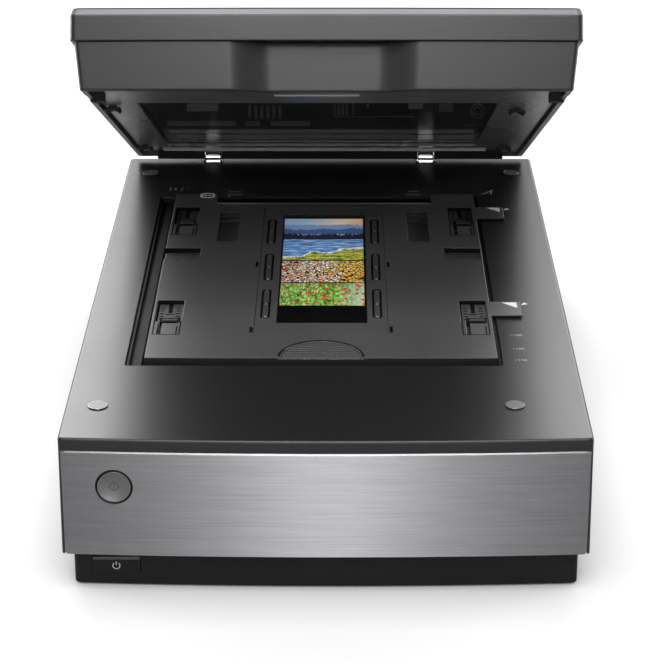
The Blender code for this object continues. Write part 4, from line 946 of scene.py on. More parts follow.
GUIDE_X = (-0.113, 0.107)
GUIDE_Z = (0.0002, 0.0012)
INNER_GUIDES = ((GUIDE_X, (0.1655, 0.1665), GUIDE_Z), (GUIDE_X, (0.1800, 0.1810), GUIDE_Z),
                ((-0.066, 0.058), (0.1610, 0.1615), (0.0014, 0.0019)))
window_top = shut_box("lid_window")[1].z
guide_spans = [(x, y, (window_top + foot, window_top + head)) for x, y, (foot, head) in INNER_GUIDES]
guide_grey = moulded("guide_grey", grey(0.60), 0.40, grain=1600.0, depth=0.05)
placed(lid_piece(blocks("lid_inner_guides", *guide_spans), 0.0001), guide_grey, "lid_paint", "lid")

SEAL_HALF = 0.1320
SEAL_GAP = 0.0126
SEAL_DROP = 0.0004
SEAL_Y = (lid_pivot.y - 0.0060, lid_pivot.y - 0.0020)
SEAL_Z = (lid_pivot.z + SEAL_DROP, plate_low.z)
gaps = [end for spot in post_spots.values() for end in about(spot.x, SEAL_GAP)]
ends = [-SEAL_HALF, *gaps, SEAL_HALF]
seal = blocks("lid_rear_seal", *[(ends[k:k + 2], SEAL_Y, SEAL_Z) for k in (0, 2, 4)])
seal_foam = moulded("seal_foam", grey(0.006), 0.85, grain=700.0, depth=0.35)
placed(lid_piece(seal, 0.0004), seal_foam, "rubber", "lid")
cad_finish(ground_steel, "lid_rail", "lid_motor")
cad_finish(belt_rubber, "lid_belt")
cad_finish(satin_black, "lid_drive_pulley", "lid_idler_pulley")
cad_finish(diffuser, "lid_lamp")
eased("lid_carriage", "lid_carriage", satin_black, "satin_black", 0.0008)
works_y = shut_box("lid_carriage")[0].y
FITTING_PROUD = 0.0012
FITTING_ROOT = 0.0002


def merged(name, pieces):
    """Several small pieces as one mesh."""
    whole = bmesh.new()
    for piece in pieces:
        whole.from_mesh(piece.data)
        bpy.data.objects.remove(piece)
    mesh = bpy.data.meshes.new(name)
    whole.to_mesh(mesh)
    whole.free()
    return put(name, mesh)


def on_carriage(name, material, *faces):
    """Fittings on the carriage's front wall, each from its spans in x and z, a little proud of the wall."""
    depth = (works_y - FITTING_PROUD, works_y + FITTING_ROOT)
    spans = [((x0, x1), depth, (z0, z1)) for x0, x1, z0, z1 in faces]
    placed(lid_piece(blocks(name, *spans), 0.0002), material, "satin_black", "lid_carriage")


def ribbed(x0, x1, z0, z1, count):
    """Upright ribs that share a span, each as wide as the gap beside it."""
    pitch = (x1 - x0) / (count - 0.5)
    return [(x0 + k * pitch, x0 + (k + 0.5) * pitch, z0, z1) for k in range(count)]


on_carriage("carriage_covers", guide_grey, (-0.103, -0.0805, 0.1259, 0.1316),
            (0.0571, 0.0675, 0.1277, 0.1316), (0.0266, 0.0284, 0.1290, 0.1310),
            (0.0168, 0.0175, 0.1238, 0.1316), (0.003, 0.061, 0.1218, 0.1222))
ledge_grey = moulded("ledge_grey", grey(0.36), 0.45, grain=1600.0, depth=0.05)
LEDGE_Z = (0.1154, 0.1188)
on_carriage("carriage_ledges", ledge_grey, (-0.117, -0.0675, *LEDGE_Z), (-0.0610, -0.0500, *LEDGE_Z),
            (-0.0425, -0.014, *LEDGE_Z), (0.0791, 0.0894, 0.1257, 0.1316), (0.097, 0.111, 0.1158, 0.1163),
            *ribbed(-0.0585, -0.0346, 0.1205, 0.1300, 6), *ribbed(0.003, 0.0133, 0.1225, 0.1316, 4))
REEL_X, REEL_Z = 0.1071, 0.1262
REEL_RADII = (0.0024, 0.0046)
REEL_WALL = 0.0008
reels = []
for radius in REEL_RADII:
    outer = radius + REEL_WALL
    wall = [(radius, -FITTING_PROUD), (outer, -FITTING_PROUD), (outer, FITTING_ROOT), (radius, FITTING_ROOT)]
    reels.append(lathed("reel", wall, (REEL_X, works_y, REEL_Z), axis=1, sides=32, joined=True))
placed(lid_piece(merged("carriage_reel", reels), 0.0001), guide_grey, "satin_black", "lid_carriage")


# ---- Film holder ----
# A flat moulding in grained dark-grey plastic that lies on the glass frame, with two tabs over the cover
# and a hinged cover over the film. Its walls are darker than its faces that look up: painted shade.

THUMB_X = -0.0036
THUMB_RADIUS = 0.0265
THUMB_DEPTH = 0.0007
THUMB_EDGE = 0.0020
THUMB_SET_BACK = 0.0005
THUMB_LINE = (0.0012, 0.00004)
RIDGE_START = 0.0025
RIDGE_PITCH = 0.0033
RIDGE_HALF = 0.0008
RIDGE_SUNK = 0.0001
RIDGES = 6
RIDGE_SHARP = math.radians(40)
RIDGE_TAPER = 0.3
holder_low, holder_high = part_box("film_holder")
holder_top, holder_front = holder_high.z, holder_low.y
holder_plastic = moulded("holder_plastic", grey(0.065, 0.002), 0.43, grain=1700.0, depth=0.10, mottle=0.10,
                         dust=0.05, ior=1.88)
# Painted shade on the holder's walls.
painted_wall_shade(holder_plastic, grey(0.010), 0.8)
eased("film_holder", "film_holder", holder_plastic, "holder_plastic", 0.0005, faceted=True)
eased("film_cover", "film_cover", holder_plastic, "holder_plastic", 0.0001, faceted=True)
# Flat black for ticks and seams, and as painted shade in the holder's hollows, slots and walls and round the
# thumb bars.
black_marks_and_shade = moulded("black_marks_and_shade", grey(0.003), 0.7, grain=1500.0, depth=0.05, ior=1.2)


ROOT = 0.00003


def flat_print(z, height=INK):
    """Places (u, v, w) as (x, y) on a level face at z."""
    return lambda u, v, w: np.stack([u, v, np.full(len(u), z - ROOT + (height + ROOT) * w)], 1)


def half_round(name, middle, halves, places, radius, z):
    """Half-round bars along X with a section (r cos a, r sin a), drawn in to less at both ends."""
    turn = np.linspace(0, np.pi, 7)
    section = radius * np.stack([np.cos(turn), np.sin(turn)], 1)
    grow = np.array([RIDGE_TAPER, 1.0, 1.0, RIDGE_TAPER])
    cut = RIDGE_TAPER * radius
    grids = []
    for half, y in zip(halves, places):
        x = middle + np.array([-half, cut - half, half - cut, half])
        across, up = y + grow[:, None] * section[:, 0], z + grow[:, None] * section[:, 1]
        grids.append(np.stack([np.broadcast_to(x[:, None], up.shape), across, up], -1))
    piece = skins(name, grids)
    piece.data.shade_smooth()
    piece.data.set_sharp_from_angle(angle=RIDGE_SHARP)
    return piece


ridge_y = holder_front + RIDGE_START + RIDGE_PITCH * np.arange(RIDGES)
chord = np.sqrt((THUMB_RADIUS - THUMB_EDGE) ** 2 - (ridge_y - holder_front) ** 2)
ridge_z = holder_top - THUMB_DEPTH - RIDGE_SUNK
ridges = half_round("thumb_ridges", THUMB_X, chord, ridge_y, RIDGE_HALF, ridge_z)
ridge_plastic = moulded("ridge_plastic", grey(0.045, 0.001), 0.6, grain=1700.0, depth=0.10)
placed(ridges, ridge_plastic, "holder_plastic", "film_holder")
turn = np.linspace(0, np.pi, 41)
bend = THUMB_RADIUS * np.stack([np.cos(turn), np.sin(turn)], 1) + [THUMB_X, holder_front + THUMB_SET_BACK]
thumb_line = tracks("thumb_line", [bend[1:-1]], THUMB_LINE[0], flat_print(holder_top, THUMB_LINE[1]))
placed(thumb_line, black_marks_and_shade, "holder_plastic", "film_holder")


# ---- Marks on the holder and round the well ----
# White and grey marks printed by pad: pointers on the tabs, their partners on the cover, ticks with plain
# numbers for the paper's edge, and rules behind the well.

TAB_REARS = (at(0.3816), at(0.2015))
POINTER = (0.0098, 0.0092)
POINTER_EDGE = (0.0024, 0.0014)
PARTNER = (0.0046, 0.0056)
PARTNER_SHIFT = (0.0008, 0.0005)
PARTNER_WAIST = 0.45
mark_white = printed("mark_white", grey(0.86, -0.01))
mark_grey = printed("mark_grey", grey(0.46))


def patches(name, outlines, z):
    """Filled flat marks: each outline is a convex polygon, one print layer thick."""
    return skins(name, [np.stack([level(points, z - ROOT), level(points, z + INK)]) for points in outlines])


pointers, partners = [], []
for rear in TAB_REARS:
    x, y = holder_high.x - POINTER_EDGE[0], rear - POINTER_EDGE[1]
    pointers.append([(x - POINTER[0], y), (x, y - POINTER[1]), (x, y)])
    x, y = holder_high.x + PARTNER_SHIFT[0], rear + PARTNER_SHIFT[1]
    partners.append([(x, y - PARTNER[1] / 4), (x + PARTNER[0], y),
                     (x + PARTNER[0] * PARTNER_WAIST, y + PARTNER[1] / 2)])
placed(patches("tab_pointers", pointers, holder_top), mark_white, "lamp_white", "film_holder")
placed(patches("cover_pointers", partners, top_z), mark_white, "lamp_white", "base")

STROKES = {
    "0": [(0, 0), (1, 0), (1, 2), (0, 2), (0, 0)],
    "1": [(0.2, 1.6), (0.6, 2), (0.6, 0)],
    "2": [(0, 2), (1, 2), (1, 1), (0, 1), (0, 0), (1, 0)],
    "5": [(1, 2), (0, 2), (0, 1), (1, 1), (1, 0), (0, 0)],
}
DIGIT = 0.0011
DIGIT_PITCH = 1.7
TICK = (-0.0022, -0.0006)
PAPER_EDGES = (("150", 0.1180, 0.1505), ("125", 0.1180, 0.1290), ("110", 0.1182, 0.1115))
ORIGIN_MARKS = (("0", -0.1150, 0.4245), ("1", -0.1060, 0.4235))


def number(text, x, y):
    """Strokes of a plain number whose lower left corner is at x, y."""
    return [DIGIT * np.array(STROKES[figure], float) + (x + DIGIT_PITCH * DIGIT * k, y)
            for k, figure in enumerate(text)]


def line(x0, y0, x1, y1):
    """A straight line with its places in y behind the case's front corners."""
    return np.array([(x0, at(y0)), (x1, at(y1))])


scale = []
for figures, x, y in PAPER_EDGES:
    scale += [line(x + TICK[0], y, x + TICK[1], y), *number(figures, x, at(y) - DIGIT)]
for figure, x, y in ORIGIN_MARKS:
    scale += number(figure, x, at(y))
scale += [line(-0.1184, 0.4220, -0.1184, 0.4300), line(-0.1105, 0.4215, -0.1090, 0.4290)]
placed(tracks("edge_scale", scale, 0.00042, flat_print(top_z)), mark_grey, "lamp_white", "base")
rules = [
    line(-0.0745, 0.4199, -0.0656, 0.4199), line(-0.0747, 0.4134, -0.0644, 0.4134),
    line(-0.0742, 0.4134, -0.0742, 0.4082), line(-0.0787, 0.4243, -0.0775, 0.4243),
    line(-0.0754, 0.4243, -0.0742, 0.4243), line(0.0578, 0.4207, 0.0657, 0.4207),
    line(0.0566, 0.4137, 0.0672, 0.4137), line(0.1111, 0.4155, 0.1150, 0.4155),
    line(0.1152, 0.4175, 0.1209, 0.4232), line(0.1196, 0.4190, 0.1190, 0.4156),
]
placed(tracks("rear_rules", rules, 0.0009, flat_print(top_z)), mark_grey, "lamp_white", "base")
# Painted highlight: a light grey line standing for the light that the notch's front edge catches.
notch_rim = tracks("notch_rim", [line(-0.0815, 0.3893, 0.0735, 0.3893)], 0.0013, flat_print(holder_top))
placed(notch_rim, printed("notch_edge_highlight", grey(0.42)), "lamp_white", "film_holder")

BADGE_X, BADGE_Y = (-0.0940, -0.0850), (0.4018, 0.4102)
BADGE_CORNER = 0.0028
DASHES = ((-0.0025, -0.0008), (0.0008, 0.0025))
ring_path = rounded(*BADGE_X, at(BADGE_Y[0]), at(BADGE_Y[1]), BADGE_CORNER, stations=9)
x, y = sum(BADGE_X) / 2, sum(BADGE_Y) / 2
dashes = [line(x + start, y, x + end, y) for start, end in DASHES]
strokes = [np.vstack([ring_path, ring_path[:1]]), *dashes]
badge = tracks("shoulder_mark", strokes, 0.0019, flat_print(holder_top))
placed(badge, mark_white, "lamp_white", "film_holder")


# ---- Pockets of the holder ----
# Dark inlays at the foot of the catches, pin holes and finger notches, painted shade where these hollows
# fall dark, and steps at the rear of each guide where a clip rests.

CATCHES = ((-0.0484, 0.2687), (0.0406, 0.2685), (-0.0484, 0.1550), (0.0406, 0.1552))
CATCH = (0.0018, 0.0098)
PIN_HOLES = ((-0.1040, 0.2850), (-0.0943, 0.2850), (0.0873, 0.2852), (0.0968, 0.2852))
PIN_HOLE = (0.0016, 0.0022)
FINGERS = ((-0.1008, 0.2990), (0.0921, 0.2992))
FINGER_WIDTH = 0.0248
FINGER_Y = (0.0007, 0.0001)
GUIDES = ((-0.0709, 0.3415), (0.0628, 0.3415))
GUIDE = (0.0148, 0.0592)
GUIDE_DEPTH = 0.0032
GUIDE_STEPS = ((0.0150, 0.0012), (0.0060, 0.0022))
GUIDE_END = 0.0001
CATCH_Z = (GUIDE_DEPTH, 0.0004)
PIN_HOLE_Z = (0.0034, 0.0033)
FINGER_Z = (0.0034, 0.0003)


def under_top(deep, shallow):
    """A span in z between two depths under the holder's top."""
    return (holder_top - deep, holder_top - shallow)


catch_z, hole_z, finger_z = under_top(*CATCH_Z), under_top(*PIN_HOLE_Z), under_top(*FINGER_Z)
inlays = [(about(x, CATCH[0]), about(at(y), CATCH[1]), catch_z) for x, y in CATCHES]
inlays += [(about(x, PIN_HOLE[0]), about(at(y), PIN_HOLE[1]), hole_z) for x, y in PIN_HOLES]
inlays += [(about(x, FINGER_WIDTH), (at(y) - FINGER_Y[0], at(y) - FINGER_Y[1]), finger_z) for x, y in FINGERS]
placed(blocks("catch_painted_shade", *inlays), black_marks_and_shade, "holder_plastic", "film_holder")
steps = []
for x, y in GUIDES:
    rear = at(y) + GUIDE[1] / 2
    steps += [(about(x, GUIDE[0]), (rear - length, rear - GUIDE_END),
               under_top(GUIDE_DEPTH, GUIDE_DEPTH - rise)) for length, rise in GUIDE_STEPS]
placed(softened(blocks("guide_steps", *steps), 0.0002), holder_plastic, "holder_plastic", "film_holder")


# ---- Height sliders ----
# Each corner of the holder stands on a slider of black plastic in its own pocket: a thin plate with a
# raised thumb bar, waisted in the middle, that moves over a slotted floor with steps marked on both sides.

POCKET = (0.0174, 0.0568)
POCKET_DEPTH = 0.0030
POCKET_GAP = 0.0004
SLIDER_PLATE = 0.0215
SLIDER_SHIFT = 0.0012
SLIDER_SEAM = 0.0008
THUMB_REST = (0.0083, 0.0026)
PLATE_THICK = 0.0006
PLATE_HALF = 0.0052
BAR_BACK = 0.0041
# The bar's base part, flat black and wider than its grip, is a painted shadow round the bar.
BAR_PARTS = (("base", black_marks_and_shade, 0.0064, 0.0034, -0.0001), ("grip", ridge_plastic, 0.0048, 0.0013, 0.0002))
BAR_TAPER = (0.0003, 0.0002)
BAR_EARS = 0.0008
POCKET_END = 0.0002
SLIDER_SLOT = (0.0026, 0.0150)
SLOT_HEAD = (0.0060, 0.0178, 0.0166)
SIDE_SLOT = (0.0002, 0.0014)
REAR_WALL = (0.0006, 0.0001)
STEP_PITCH = 0.0046
STEP_START = 0.00804
STEP_X = (0.0038, 0.0064)
STEP_WIDTH = 0.0016
FLOOR_START = 0.0020
FLOOR_SKIN = 0.00012
SLOT_SKIN = (0.00005, 0.0001)
SEAM_INSET = 0.0003
PLATE_SEAM = (0.0006, 0.0080)
slider_plastic = moulded("slider_plastic", grey(0.080, 0.002), 0.43, grain=1700.0, depth=0.10, dust=0.05,
                         ior=1.88)
# Painted shade on the sliders' walls.
painted_wall_shade(slider_plastic, grey(0.008), 0.8)


def waisted(x, y, half_x, half_y):
    """Plan of the thumb bar: half depth half_y plus BAR_EARS * |u|^3, u from -1 to 1 over its width."""
    u = np.linspace(-1, 1, 17)
    depth = half_y + BAR_EARS * np.abs(u) ** 3
    front = np.stack([x + half_x * u, y - depth], 1)
    rear = np.stack([x + half_x * u[::-1], y + depth[::-1]], 1)
    return np.vstack([front, rear])


def make_slider(corner, low, high):
    """Plate and thumb bar of one slider."""
    name = "height_slider_" + corner
    x, y = (low.x + high.x) / 2 + SLIDER_SHIFT, high.y - BAR_BACK
    for part, finish, half_x, half_y, proud in BAR_PARTS:
        top = high.z + proud
        stages = [(half_x, half_y, low.z), (half_x, half_y, top - BAR_TAPER[0]),
                  (half_x - BAR_TAPER[0], half_y - BAR_TAPER[1], top)]
        plans = [level(waisted(x, y, wide, deep), z) for wide, deep, z in stages]
        bar = softened(skinned("slider_" + part + "_" + corner, plans), 0.0001)
        placed(bar, finish, "satin_black", name)
    wide = (low.x + SLIDER_SEAM + SLIDER_SHIFT, high.x - SLIDER_SEAM + SLIDER_SHIFT)
    front = low.y + SLIDER_SEAM / 2
    plate = blocks("slider_plate_" + corner,
                   (wide, (front, high.y - THUMB_REST[0]), (low.z, low.z + THUMB_REST[1])),
                   (wide, (front, high.y), (low.z, low.z + PLATE_THICK)))
    placed(softened(plate, 0.0002), slider_plastic, "satin_black", name, name)


def make_slider_pocket(corner, x, front):
    """Floor, step marks and seams round one slider, with the slot and the pocket's rear wall as flat black
    patches of painted shade; front is the pocket's front edge.
    """
    rear, half = front + POCKET[1], POCKET[0] / 2
    seam_end = front + SLIDER_PLATE
    start = seam_end + FLOOR_START
    floor_z = holder_top - POCKET_DEPTH
    ground = floor_z + FLOOR_SKIN
    skin = (ground - SLOT_SKIN[0], ground + SLOT_SKIN[1])
    plate = blocks("slider_floor_" + corner,
                   (about(x, POCKET[0] - SLIDER_SEAM), (start, rear - POCKET_END), (floor_z, ground)))
    placed(plate, slider_plastic, "holder_plastic", "film_holder")
    # The slot, its head, the side slot and a sheet on the rear wall are flat black: painted shade where these
    # hollows fall dark.
    slot = blocks("slider_slot_" + corner,
                  (about(x, SLIDER_SLOT[0]), (rear - SLIDER_SLOT[1], rear - POCKET_END), skin),
                  (about(x, SLOT_HEAD[0]), (rear - SLOT_HEAD[1], rear - SLOT_HEAD[2]), skin),
                  ((x - half + SIDE_SLOT[0], x - half + SIDE_SLOT[1]), (start, rear - POCKET_END), skin),
                  (about(x, POCKET[0] - SLIDER_SEAM / 2), (rear - REAR_WALL[0], rear - REAR_WALL[1]),
                   (floor_z, holder_top - POCKET_END)))
    steps = [[(x + side * reach, start + STEP_START + STEP_PITCH * k) for reach in STEP_X]
             for side in (-1, 1) for k in range(5)]
    left, right = x - half + SEAM_INSET, x + half - SEAM_INSET
    seams = [[(left, seam_end), (left, front)], [(x - half, front), (x + half, front)],
             [(right, front), (right, seam_end)]]
    for side in (-1, 1):
        edge = x + SLIDER_SHIFT + side * PLATE_HALF
        seams.append([(edge, front + PLATE_SEAM[0]), (edge, seam_end - PLATE_SEAM[1])])
    for piece in (slot, tracks("slider_steps_" + corner, steps, STEP_WIDTH, flat_print(ground)),
                  tracks("slider_seams_" + corner, seams, SLIDER_SEAM, flat_print(holder_top, INK / 2))):
        placed(piece, black_marks_and_shade, "holder_plastic", "film_holder")


for corner in ("front_left", "front_right", "rear_left", "rear_right"):
    low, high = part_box("height_slider_" + corner)
    make_slider(corner, low, high)
    make_slider_pocket(corner, (low.x + high.x) / 2, low.y - POCKET_GAP)


# ---- Film cover fittings ----
# Three spring clips in grooves on each side of the window press the cover on the film. Each is a slim strip
# in two halves under three pins.

CLIPS = [(x, at(y)) for x in (-0.0403, 0.0321) for y in (0.3327, 0.2643, 0.1992)]
GROOVE = (0.0062, 0.0496)
GROOVE_CORNER = 0.0026
GROOVE_DEPTH = 0.0008
STRIP = (0.0036, 0.0200, 0.0005)
STRIP_SHIFT = 0.0115
PIN_SHIFT = 0.0212
PIN = (0.0012, 0.0007)
groove_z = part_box("film_cover")[1].z - GROOVE_DEPTH
rise = np.linspace(0, np.pi / 2, 5)
dome = np.column_stack([PIN[0] * np.cos(rise * 0.97), PIN[1] * np.sin(rise)])
pin = np.vstack([[(PIN[0], -0.0001)], dome])
floors, strips, pins = [], [], []
for x, y in CLIPS:
    outline = rounded(*about(x, GROOVE[0]), *about(y, GROOVE[1]), GROOVE_CORNER, stations=5)
    floors.append(skinned("groove", [level(outline, groove_z), level(outline, groove_z + 0.00005)]))
    strips += [(about(x, STRIP[0]), about(y + side * STRIP_SHIFT, STRIP[1]), (groove_z, groove_z + STRIP[2]))
               for side in (-1, 1)]
    pins += [lathed("pin", pin, (x, y + k * PIN_SHIFT, groove_z), sides=16) for k in (-1, 0, 1)]
placed(merged("groove_floors", floors), black_marks_and_shade, "holder_plastic", "film_cover")
placed(softened(blocks("clip_strips", *strips), 0.0002), ridge_plastic, "satin_black", "film_cover")
clip_pins = merged("clip_pins", pins)
clip_pins.data.shade_smooth()
pin_grey = moulded("pin_grey", grey(0.20), 0.25, grain=3000.0, depth=0.02)
placed(clip_pins, pin_grey, "satin_black", "film_cover")


# ---- Film ----
# A strip of reversal film, black between its frames. The four frames are plain landscapes and flowers of no
# particular place: a meadow, a flower bed, a coast and hills at dusk.

film_base = moulded("film_base", grey(0.004, 0.0005), 0.30, grain=2000.0, depth=0.01, mottle=0.05, ior=1.38)
cad_finish(film_base, "film_strip")
FRAME_SPANS = ((0.2016, 0.2406), (0.2424, 0.2816), (0.2836, 0.3231), (0.3251, 0.3645))
FRAME_X = (-0.0317, 0.0241)
FRAME_LAYER = (0.00001, 0.00008)
# Painted light: the frames' colours glow of themselves at this strength.
FRAME_PAINTED_GLOW = 0.38


class Field:
    """A value that varies over a film frame; +, - and * make math nodes of fields and numbers."""

    def __init__(self, tree, socket):
        self.tree, self.socket = tree, socket

    def joined(self, operation, *values):
        sockets = [value.socket if isinstance(value, Field) else value for value in values]
        return Field(self.tree, calc(self.tree, operation, *sockets))

    def __add__(self, other):
        return self.joined("ADD", self, other)

    def __sub__(self, other):
        return self.joined("SUBTRACT", self, other)

    def __rsub__(self, other):
        return self.joined("SUBTRACT", other, self)

    def __mul__(self, other):
        return self.joined("MULTIPLY", self, other)

    def step(self, start, end):
        """Nought before start, one after end, smooth between."""
        made = ranged(self.tree, start, end, interpolation_type="SMOOTHSTEP")
        self.tree.links.new(self.socket, made.inputs["Value"])
        return Field(self.tree, made.outputs[0])

    def tints(self, *stops):
        """A colour ramp: stops of (place, colour)."""
        made = new_node(self.tree, "ValToRGB")
        ramp = made.color_ramp.elements
        for end, (spot, tint) in ((ramp[0], stops[0]), (ramp[1], stops[-1])):
            end.position = spot
            end.color = (*tint, 1)
        for spot, tint in stops[1:-1]:
            ramp.new(spot).color = (*tint, 1)
        self.tree.links.new(self.socket, made.inputs[0])
        return made.outputs[0]

    def layered(self, under, over):
        """One colour over another with this field as the mask; a colour is a socket or three numbers."""
        made = new_node(self.tree, "Mix", data_type="RGBA")
        for name, value in (("A", under), ("B", over)):
            if isinstance(value, tuple):
                made.inputs[name].default_value = (*value, 1)
            else:
                self.tree.links.new(value, made.inputs[name])
        self.tree.links.new(self.socket, made.inputs["Factor"])
        return made.outputs["Result"]


def spread(place, stretch, seed, made, output):
    """A pattern over the frame, stretched along its axes, given as a field."""
    tree = place.node.id_data
    turned = preset(new_node(tree, "Mapping"), Scale=stretch, Location=(seed, seed * 0.7, seed * 0.3))
    tree.links.new(place, turned.inputs["Vector"])
    tree.links.new(turned.outputs[0], made.inputs["Vector"])
    return Field(tree, made.outputs[output])


def clouds(place, scale, stretch=(1, 1, 1), detail=3.0, *, seed):
    """Soft noise over the frame."""
    return spread(place, stretch, seed, noise(place.node.id_data, scale, detail, 0.6), "Fac")


def cells(place, scale, stretch, feature, seed):
    """Distance in round cells over the frame, to their middles or to their edges."""
    made = preset(new_node(place.node.id_data, "TexVoronoi", feature=feature), Scale=scale)
    return spread(place, stretch, seed, made, "Distance")


def hills(place, u, v):
    """Dusk: a sky from blue on the left to orange on the right, and three ridges that darken forwards."""
    colour = (u * 0.60 + (1.0 - v) * 0.30).tints((0.20, (0.35, 0.50, 0.72)), (0.50, (0.85, 0.66, 0.44)),
                                                 (0.80, (0.80, 0.34, 0.10)))
    ridges = ((0.72, 0.34, 2.2, (0.20, 0.32, 0.58)), (0.50, 0.40, 3.5, (0.06, 0.11, 0.27)),
              (0.24, 0.30, 6.0, (0.015, 0.022, 0.055)))
    for k, (base, rise, wide, tint) in enumerate(ridges):
        crest = clouds(place, wide, (1, 0.001, 1), seed=3.1 * k + 6)
        edge = crest.joined("ADD", base - rise / 2, crest * rise) - v
        trees = clouds(place, 22.0, (1.5, 0.8, 1), seed=9.0 + k)
        slope = (trees - edge).step(0.54, 0.62).layered(tint, (0.62, 0.60, 0.62))
        colour = edge.step(0.0, 0.012).layered(colour, slope)
    return colour


def coast(place, u, v):
    """Coast: fields and ochre rocks in front on the right, blue water with long swells behind them."""
    swell = clouds(place, 5.0, (1, 4.5, 1), detail=4.0, seed=2.0)
    water = swell.tints((0.35, (0.03, 0.08, 0.25)), (0.52, (0.12, 0.30, 0.62)), (0.66, (0.62, 0.76, 0.90)))
    shore = clouds(place, 3.5, detail=4.0, seed=15.0)
    line = (u * 0.60 - v) + shore * 0.9
    fields = clouds(place, 9.0, (1, 1.6, 1), seed=7.0)
    land = fields.tints((0.38, (0.04, 0.12, 0.02)), (0.50, (0.30, 0.36, 0.05)), (0.60, (0.78, 0.60, 0.08)),
                        (0.70, (0.62, 0.28, 0.08)))
    foam = line.step(0.34, 0.38) * (1.0 - line.step(0.40, 0.42))
    return foam.layered(line.step(0.40, 0.43).layered(water, land), (0.85, 0.88, 0.86))


def flower_bed(place, u, v):
    """Flower bed: round cells with dark gaps, red and orange on the left, white, then yellow at the right."""
    gap = cells(place, 13.0, (1.6, 1, 1), "DISTANCE_TO_EDGE", 1.0)
    ray = cells(place, 13.0, (1.6, 1, 1), "F1", 1.0)
    tone = new_node(u.tree, "SeparateColor")
    wire(u.tree, (ray.socket.node, "Color", tone, 0))
    pick = (1.0 - u) * 0.62 + Field(u.tree, tone.outputs[0]) * 0.36
    petals = pick.tints((0.08, (0.86, 0.58, 0.12)), (0.36, (0.80, 0.42, 0.06)), (0.46, (0.86, 0.84, 0.78)),
                        (0.66, (0.70, 0.32, 0.12)), (0.78, (0.66, 0.70, 0.66)), (0.92, (0.62, 0.05, 0.02)))
    flowers = ray.step(0.05, 0.12).layered((0.10, 0.03, 0.01), petals)
    return gap.step(0.05, 0.12).layered((0.010, 0.014, 0.008), flowers)


def meadow(place, u, v):
    """Meadow: upright blades of grass, pale haze to the right, red poppies and white daisies over it."""
    blades = clouds(place, 7.0, (5.0, 1.2, 1), detail=4.0, seed=4.0)
    grass = blades.tints((0.34, (0.02, 0.07, 0.01)), (0.50, (0.14, 0.34, 0.05)), (0.64, (0.42, 0.62, 0.18)),
                         (0.78, (0.80, 0.86, 0.62)))
    hazy = (u.step(0.65, 1.0) * 0.6).layered(grass, (0.52, 0.60, 0.50))
    poppies = 1.0 - cells(place, 9.0, (1.5, 0.8, 1), "F1", 8.0).step(0.26, 0.36)
    daisies = 1.0 - cells(place, 15.0, (1.6, 1, 1), "F1", 11.0).step(0.16, 0.24)
    daisies = daisies * (1.0 - u.step(0.25, 0.55))
    return daisies.layered(poppies.layered(hazy, (0.62, 0.05, 0.015)), (0.84, 0.82, 0.76))


def picture(paint_frame):
    """A film frame's material: the painted colours, which also glow faintly of themselves as painted light.
    """
    material, tree, shader = blank("frame_" + paint_frame.__name__)
    preset(shader, Roughness=0.25, Emission_Strength=FRAME_PAINTED_GLOW)
    place, split = new_node(tree, "UVMap", uv_map="frame"), new_node(tree, "SeparateXYZ")
    wire(tree, (place, 0, split, 0))
    colour = paint_frame(place.outputs[0], Field(tree, split.outputs["X"]), Field(tree, split.outputs["Y"]))
    for target in ("Base Color", "Emission Color"):
        tree.links.new(colour, shader.inputs[target])
    return material


film_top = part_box("film_strip")[1].z
for k, (painter, (y0, y1)) in enumerate(zip((meadow, flower_bed, coast, hills), FRAME_SPANS)):
    near, far = np.array([FRAME_X[0], at(y0)]), np.array([FRAME_X[1], at(y1)])
    corners = np.array([near, (far[0], near[1]), far, (near[0], far[1])])
    image = skinned("film_frame_%d" % (k + 1), [level(corners, film_top + rise) for rise in FRAME_LAYER])
    add_uv(image, "frame", lambda places: (places[:, :2] - near) / (far - near))
    placed(image, picture(painter), "film", "film_holder")


# ---- Studio ----
# Plain floor, paler to the camera than to the rest, that extra glow cut back by ambient occlusion to paint a
# contact shadow round the scanner; broad soft lamps overhead, behind and at both sides, a low strip and a
# high lamp in front, and the camera.

FLOOR_HALF = 7.0
FLOOR_TONES = (grey(0.36), grey(0.48))
FLOOR_LIFT = 0.445
corners = [(-FLOOR_HALF, -FLOOR_HALF, 0), (FLOOR_HALF, -FLOOR_HALF, 0), (FLOOR_HALF, FLOOR_HALF, 0),
           (-FLOOR_HALF, FLOOR_HALF, 0)]
floor = new_piece("floor", corners, [[0, 1, 2, 3]])
white_floor, tree, paint = blank("white_floor")
preset(paint, Roughness=0.9)
path, glow, total = new_node(tree, "LightPath"), new_node(tree, "Emission"), new_node(tree, "AddShader")
tone = mixed(tree, *FLOOR_TONES)
# Painted shadow: the floor's extra glow to the camera is cut back by ambient occlusion near the scanner.
corner = preset(new_node(tree, "AmbientOcclusion"), Distance=0.05)
glow_share_less_painted_shadow = calc(tree, "MULTIPLY", corner.outputs["AO"], path.outputs["Is Camera Ray"])
tree.links.new(calc(tree, "MULTIPLY", glow_share_less_painted_shadow, FLOOR_LIFT), glow.inputs["Strength"])
wire(tree, (path, "Is Camera Ray", tone, "Factor"), (tone, "Result", paint, "Base Color"),
     (paint, 0, total, 0), (glow, 0, total, 1), (total, 0, tree.nodes["Material Output"], "Surface"))
floor.data.materials.append(white_floor)

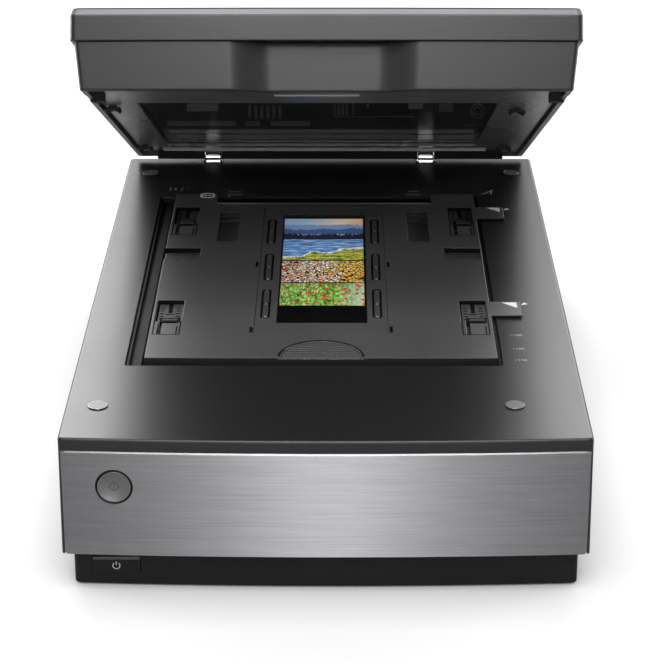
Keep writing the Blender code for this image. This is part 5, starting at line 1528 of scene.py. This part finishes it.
world = bpy.data.worlds.new("studio")
bpy.context.scene.world = world
world.use_nodes = True
tree = world.node_tree
tree.nodes.clear()
seen, dim = preset(new_node(tree, "Background"), Strength=1.0), new_node(tree, "Background")
place, height = new_node(tree, "TexCoord"), new_node(tree, "SeparateXYZ")
fall = ranged(tree, 0.15, 0.75, 0.10, 0.45)
path = new_node(tree, "LightPath")
choice, leave = new_node(tree, "MixShader"), new_node(tree, "OutputWorld")
clear = calc(tree, "MAXIMUM", path.outputs["Is Camera Ray"], path.outputs["Is Transmission Ray"])
tree.links.new(clear, choice.inputs["Fac"])
wire(tree, (place, "Generated", height, 0), (height, "Z", fall, "Value"), (fall, 0, dim, "Strength"),
     (dim, 0, choice, 1), (seen, 0, choice, 2), (choice, 0, leave, "Surface"))

LAMPS = (  # name, place, target, width, height, radiance
    ("overhead", (0.0, -0.78, 1.70), (0.0, -0.1, 0.2), 1.00, 0.55, 9.0),
    ("rear_left", (-0.68, 1.60, 1.15), (0.0, 0.0, 0.1), 0.9, 1.4, 6.6),
    ("rear_right", (0.62, 1.60, 1.15), (0.0, 0.0, 0.1), 0.7, 1.4, 5.2),
    ("side_right", (1.25, 0.45, 0.34), (0.1, 0.1, 0.1), 0.6, 0.4, 12.0),
    ("side_left", (-1.25, 0.45, 0.34), (-0.1, 0.1, 0.1), 0.6, 0.4, 12.0),
    ("front_low", (0.0, -1.55, 0.30), (0.0, -0.25, 0.06), 0.14, 0.36, 24.0),
    ("front_high", (0.0, -1.30, 1.32), (0.0, -0.20, 0.15), 0.60, 0.34, 15.0),
)
for name, place, target, width, height, radiance in LAMPS:
    lamp = bpy.data.lights.new(name, "AREA")
    lamp.shape = "RECTANGLE"
    lamp.size, lamp.size_y = width, height
    lamp.energy = radiance * math.pi * width * height
    softbox = put(name, lamp)
    softbox.location = place
    softbox.rotation_euler = (Vector(target) - Vector(place)).to_track_quat("-Z", "Y").to_euler()

CAMERA_SPOT = (0.00989, at(-1.18503), 0.67258)
PITCH, YAW, ROLL = math.radians(23.115), math.radians(-0.296), math.radians(-0.069)
ahead = Vector((math.sin(YAW) * math.cos(PITCH), math.cos(YAW) * math.cos(PITCH), -math.sin(PITCH)))
right = Vector((math.cos(YAW), -math.sin(YAW), 0.0))
up = right.cross(ahead)
right, up = right * math.cos(ROLL) + up * math.sin(ROLL), up * math.cos(ROLL) - right * math.sin(ROLL)
lens = bpy.data.cameras.new("camera")
lens.lens = 124.49
lens.sensor_width = 36.0
lens.clip_end = 50.0
camera = put("camera", lens)
camera.matrix_world = Matrix((right, up, -ahead)).transposed().to_4x4()
camera.location = CAMERA_SPOT
bpy.context.scene.camera = camera
bpy.context.scene.view_settings.view_transform = "Standard"
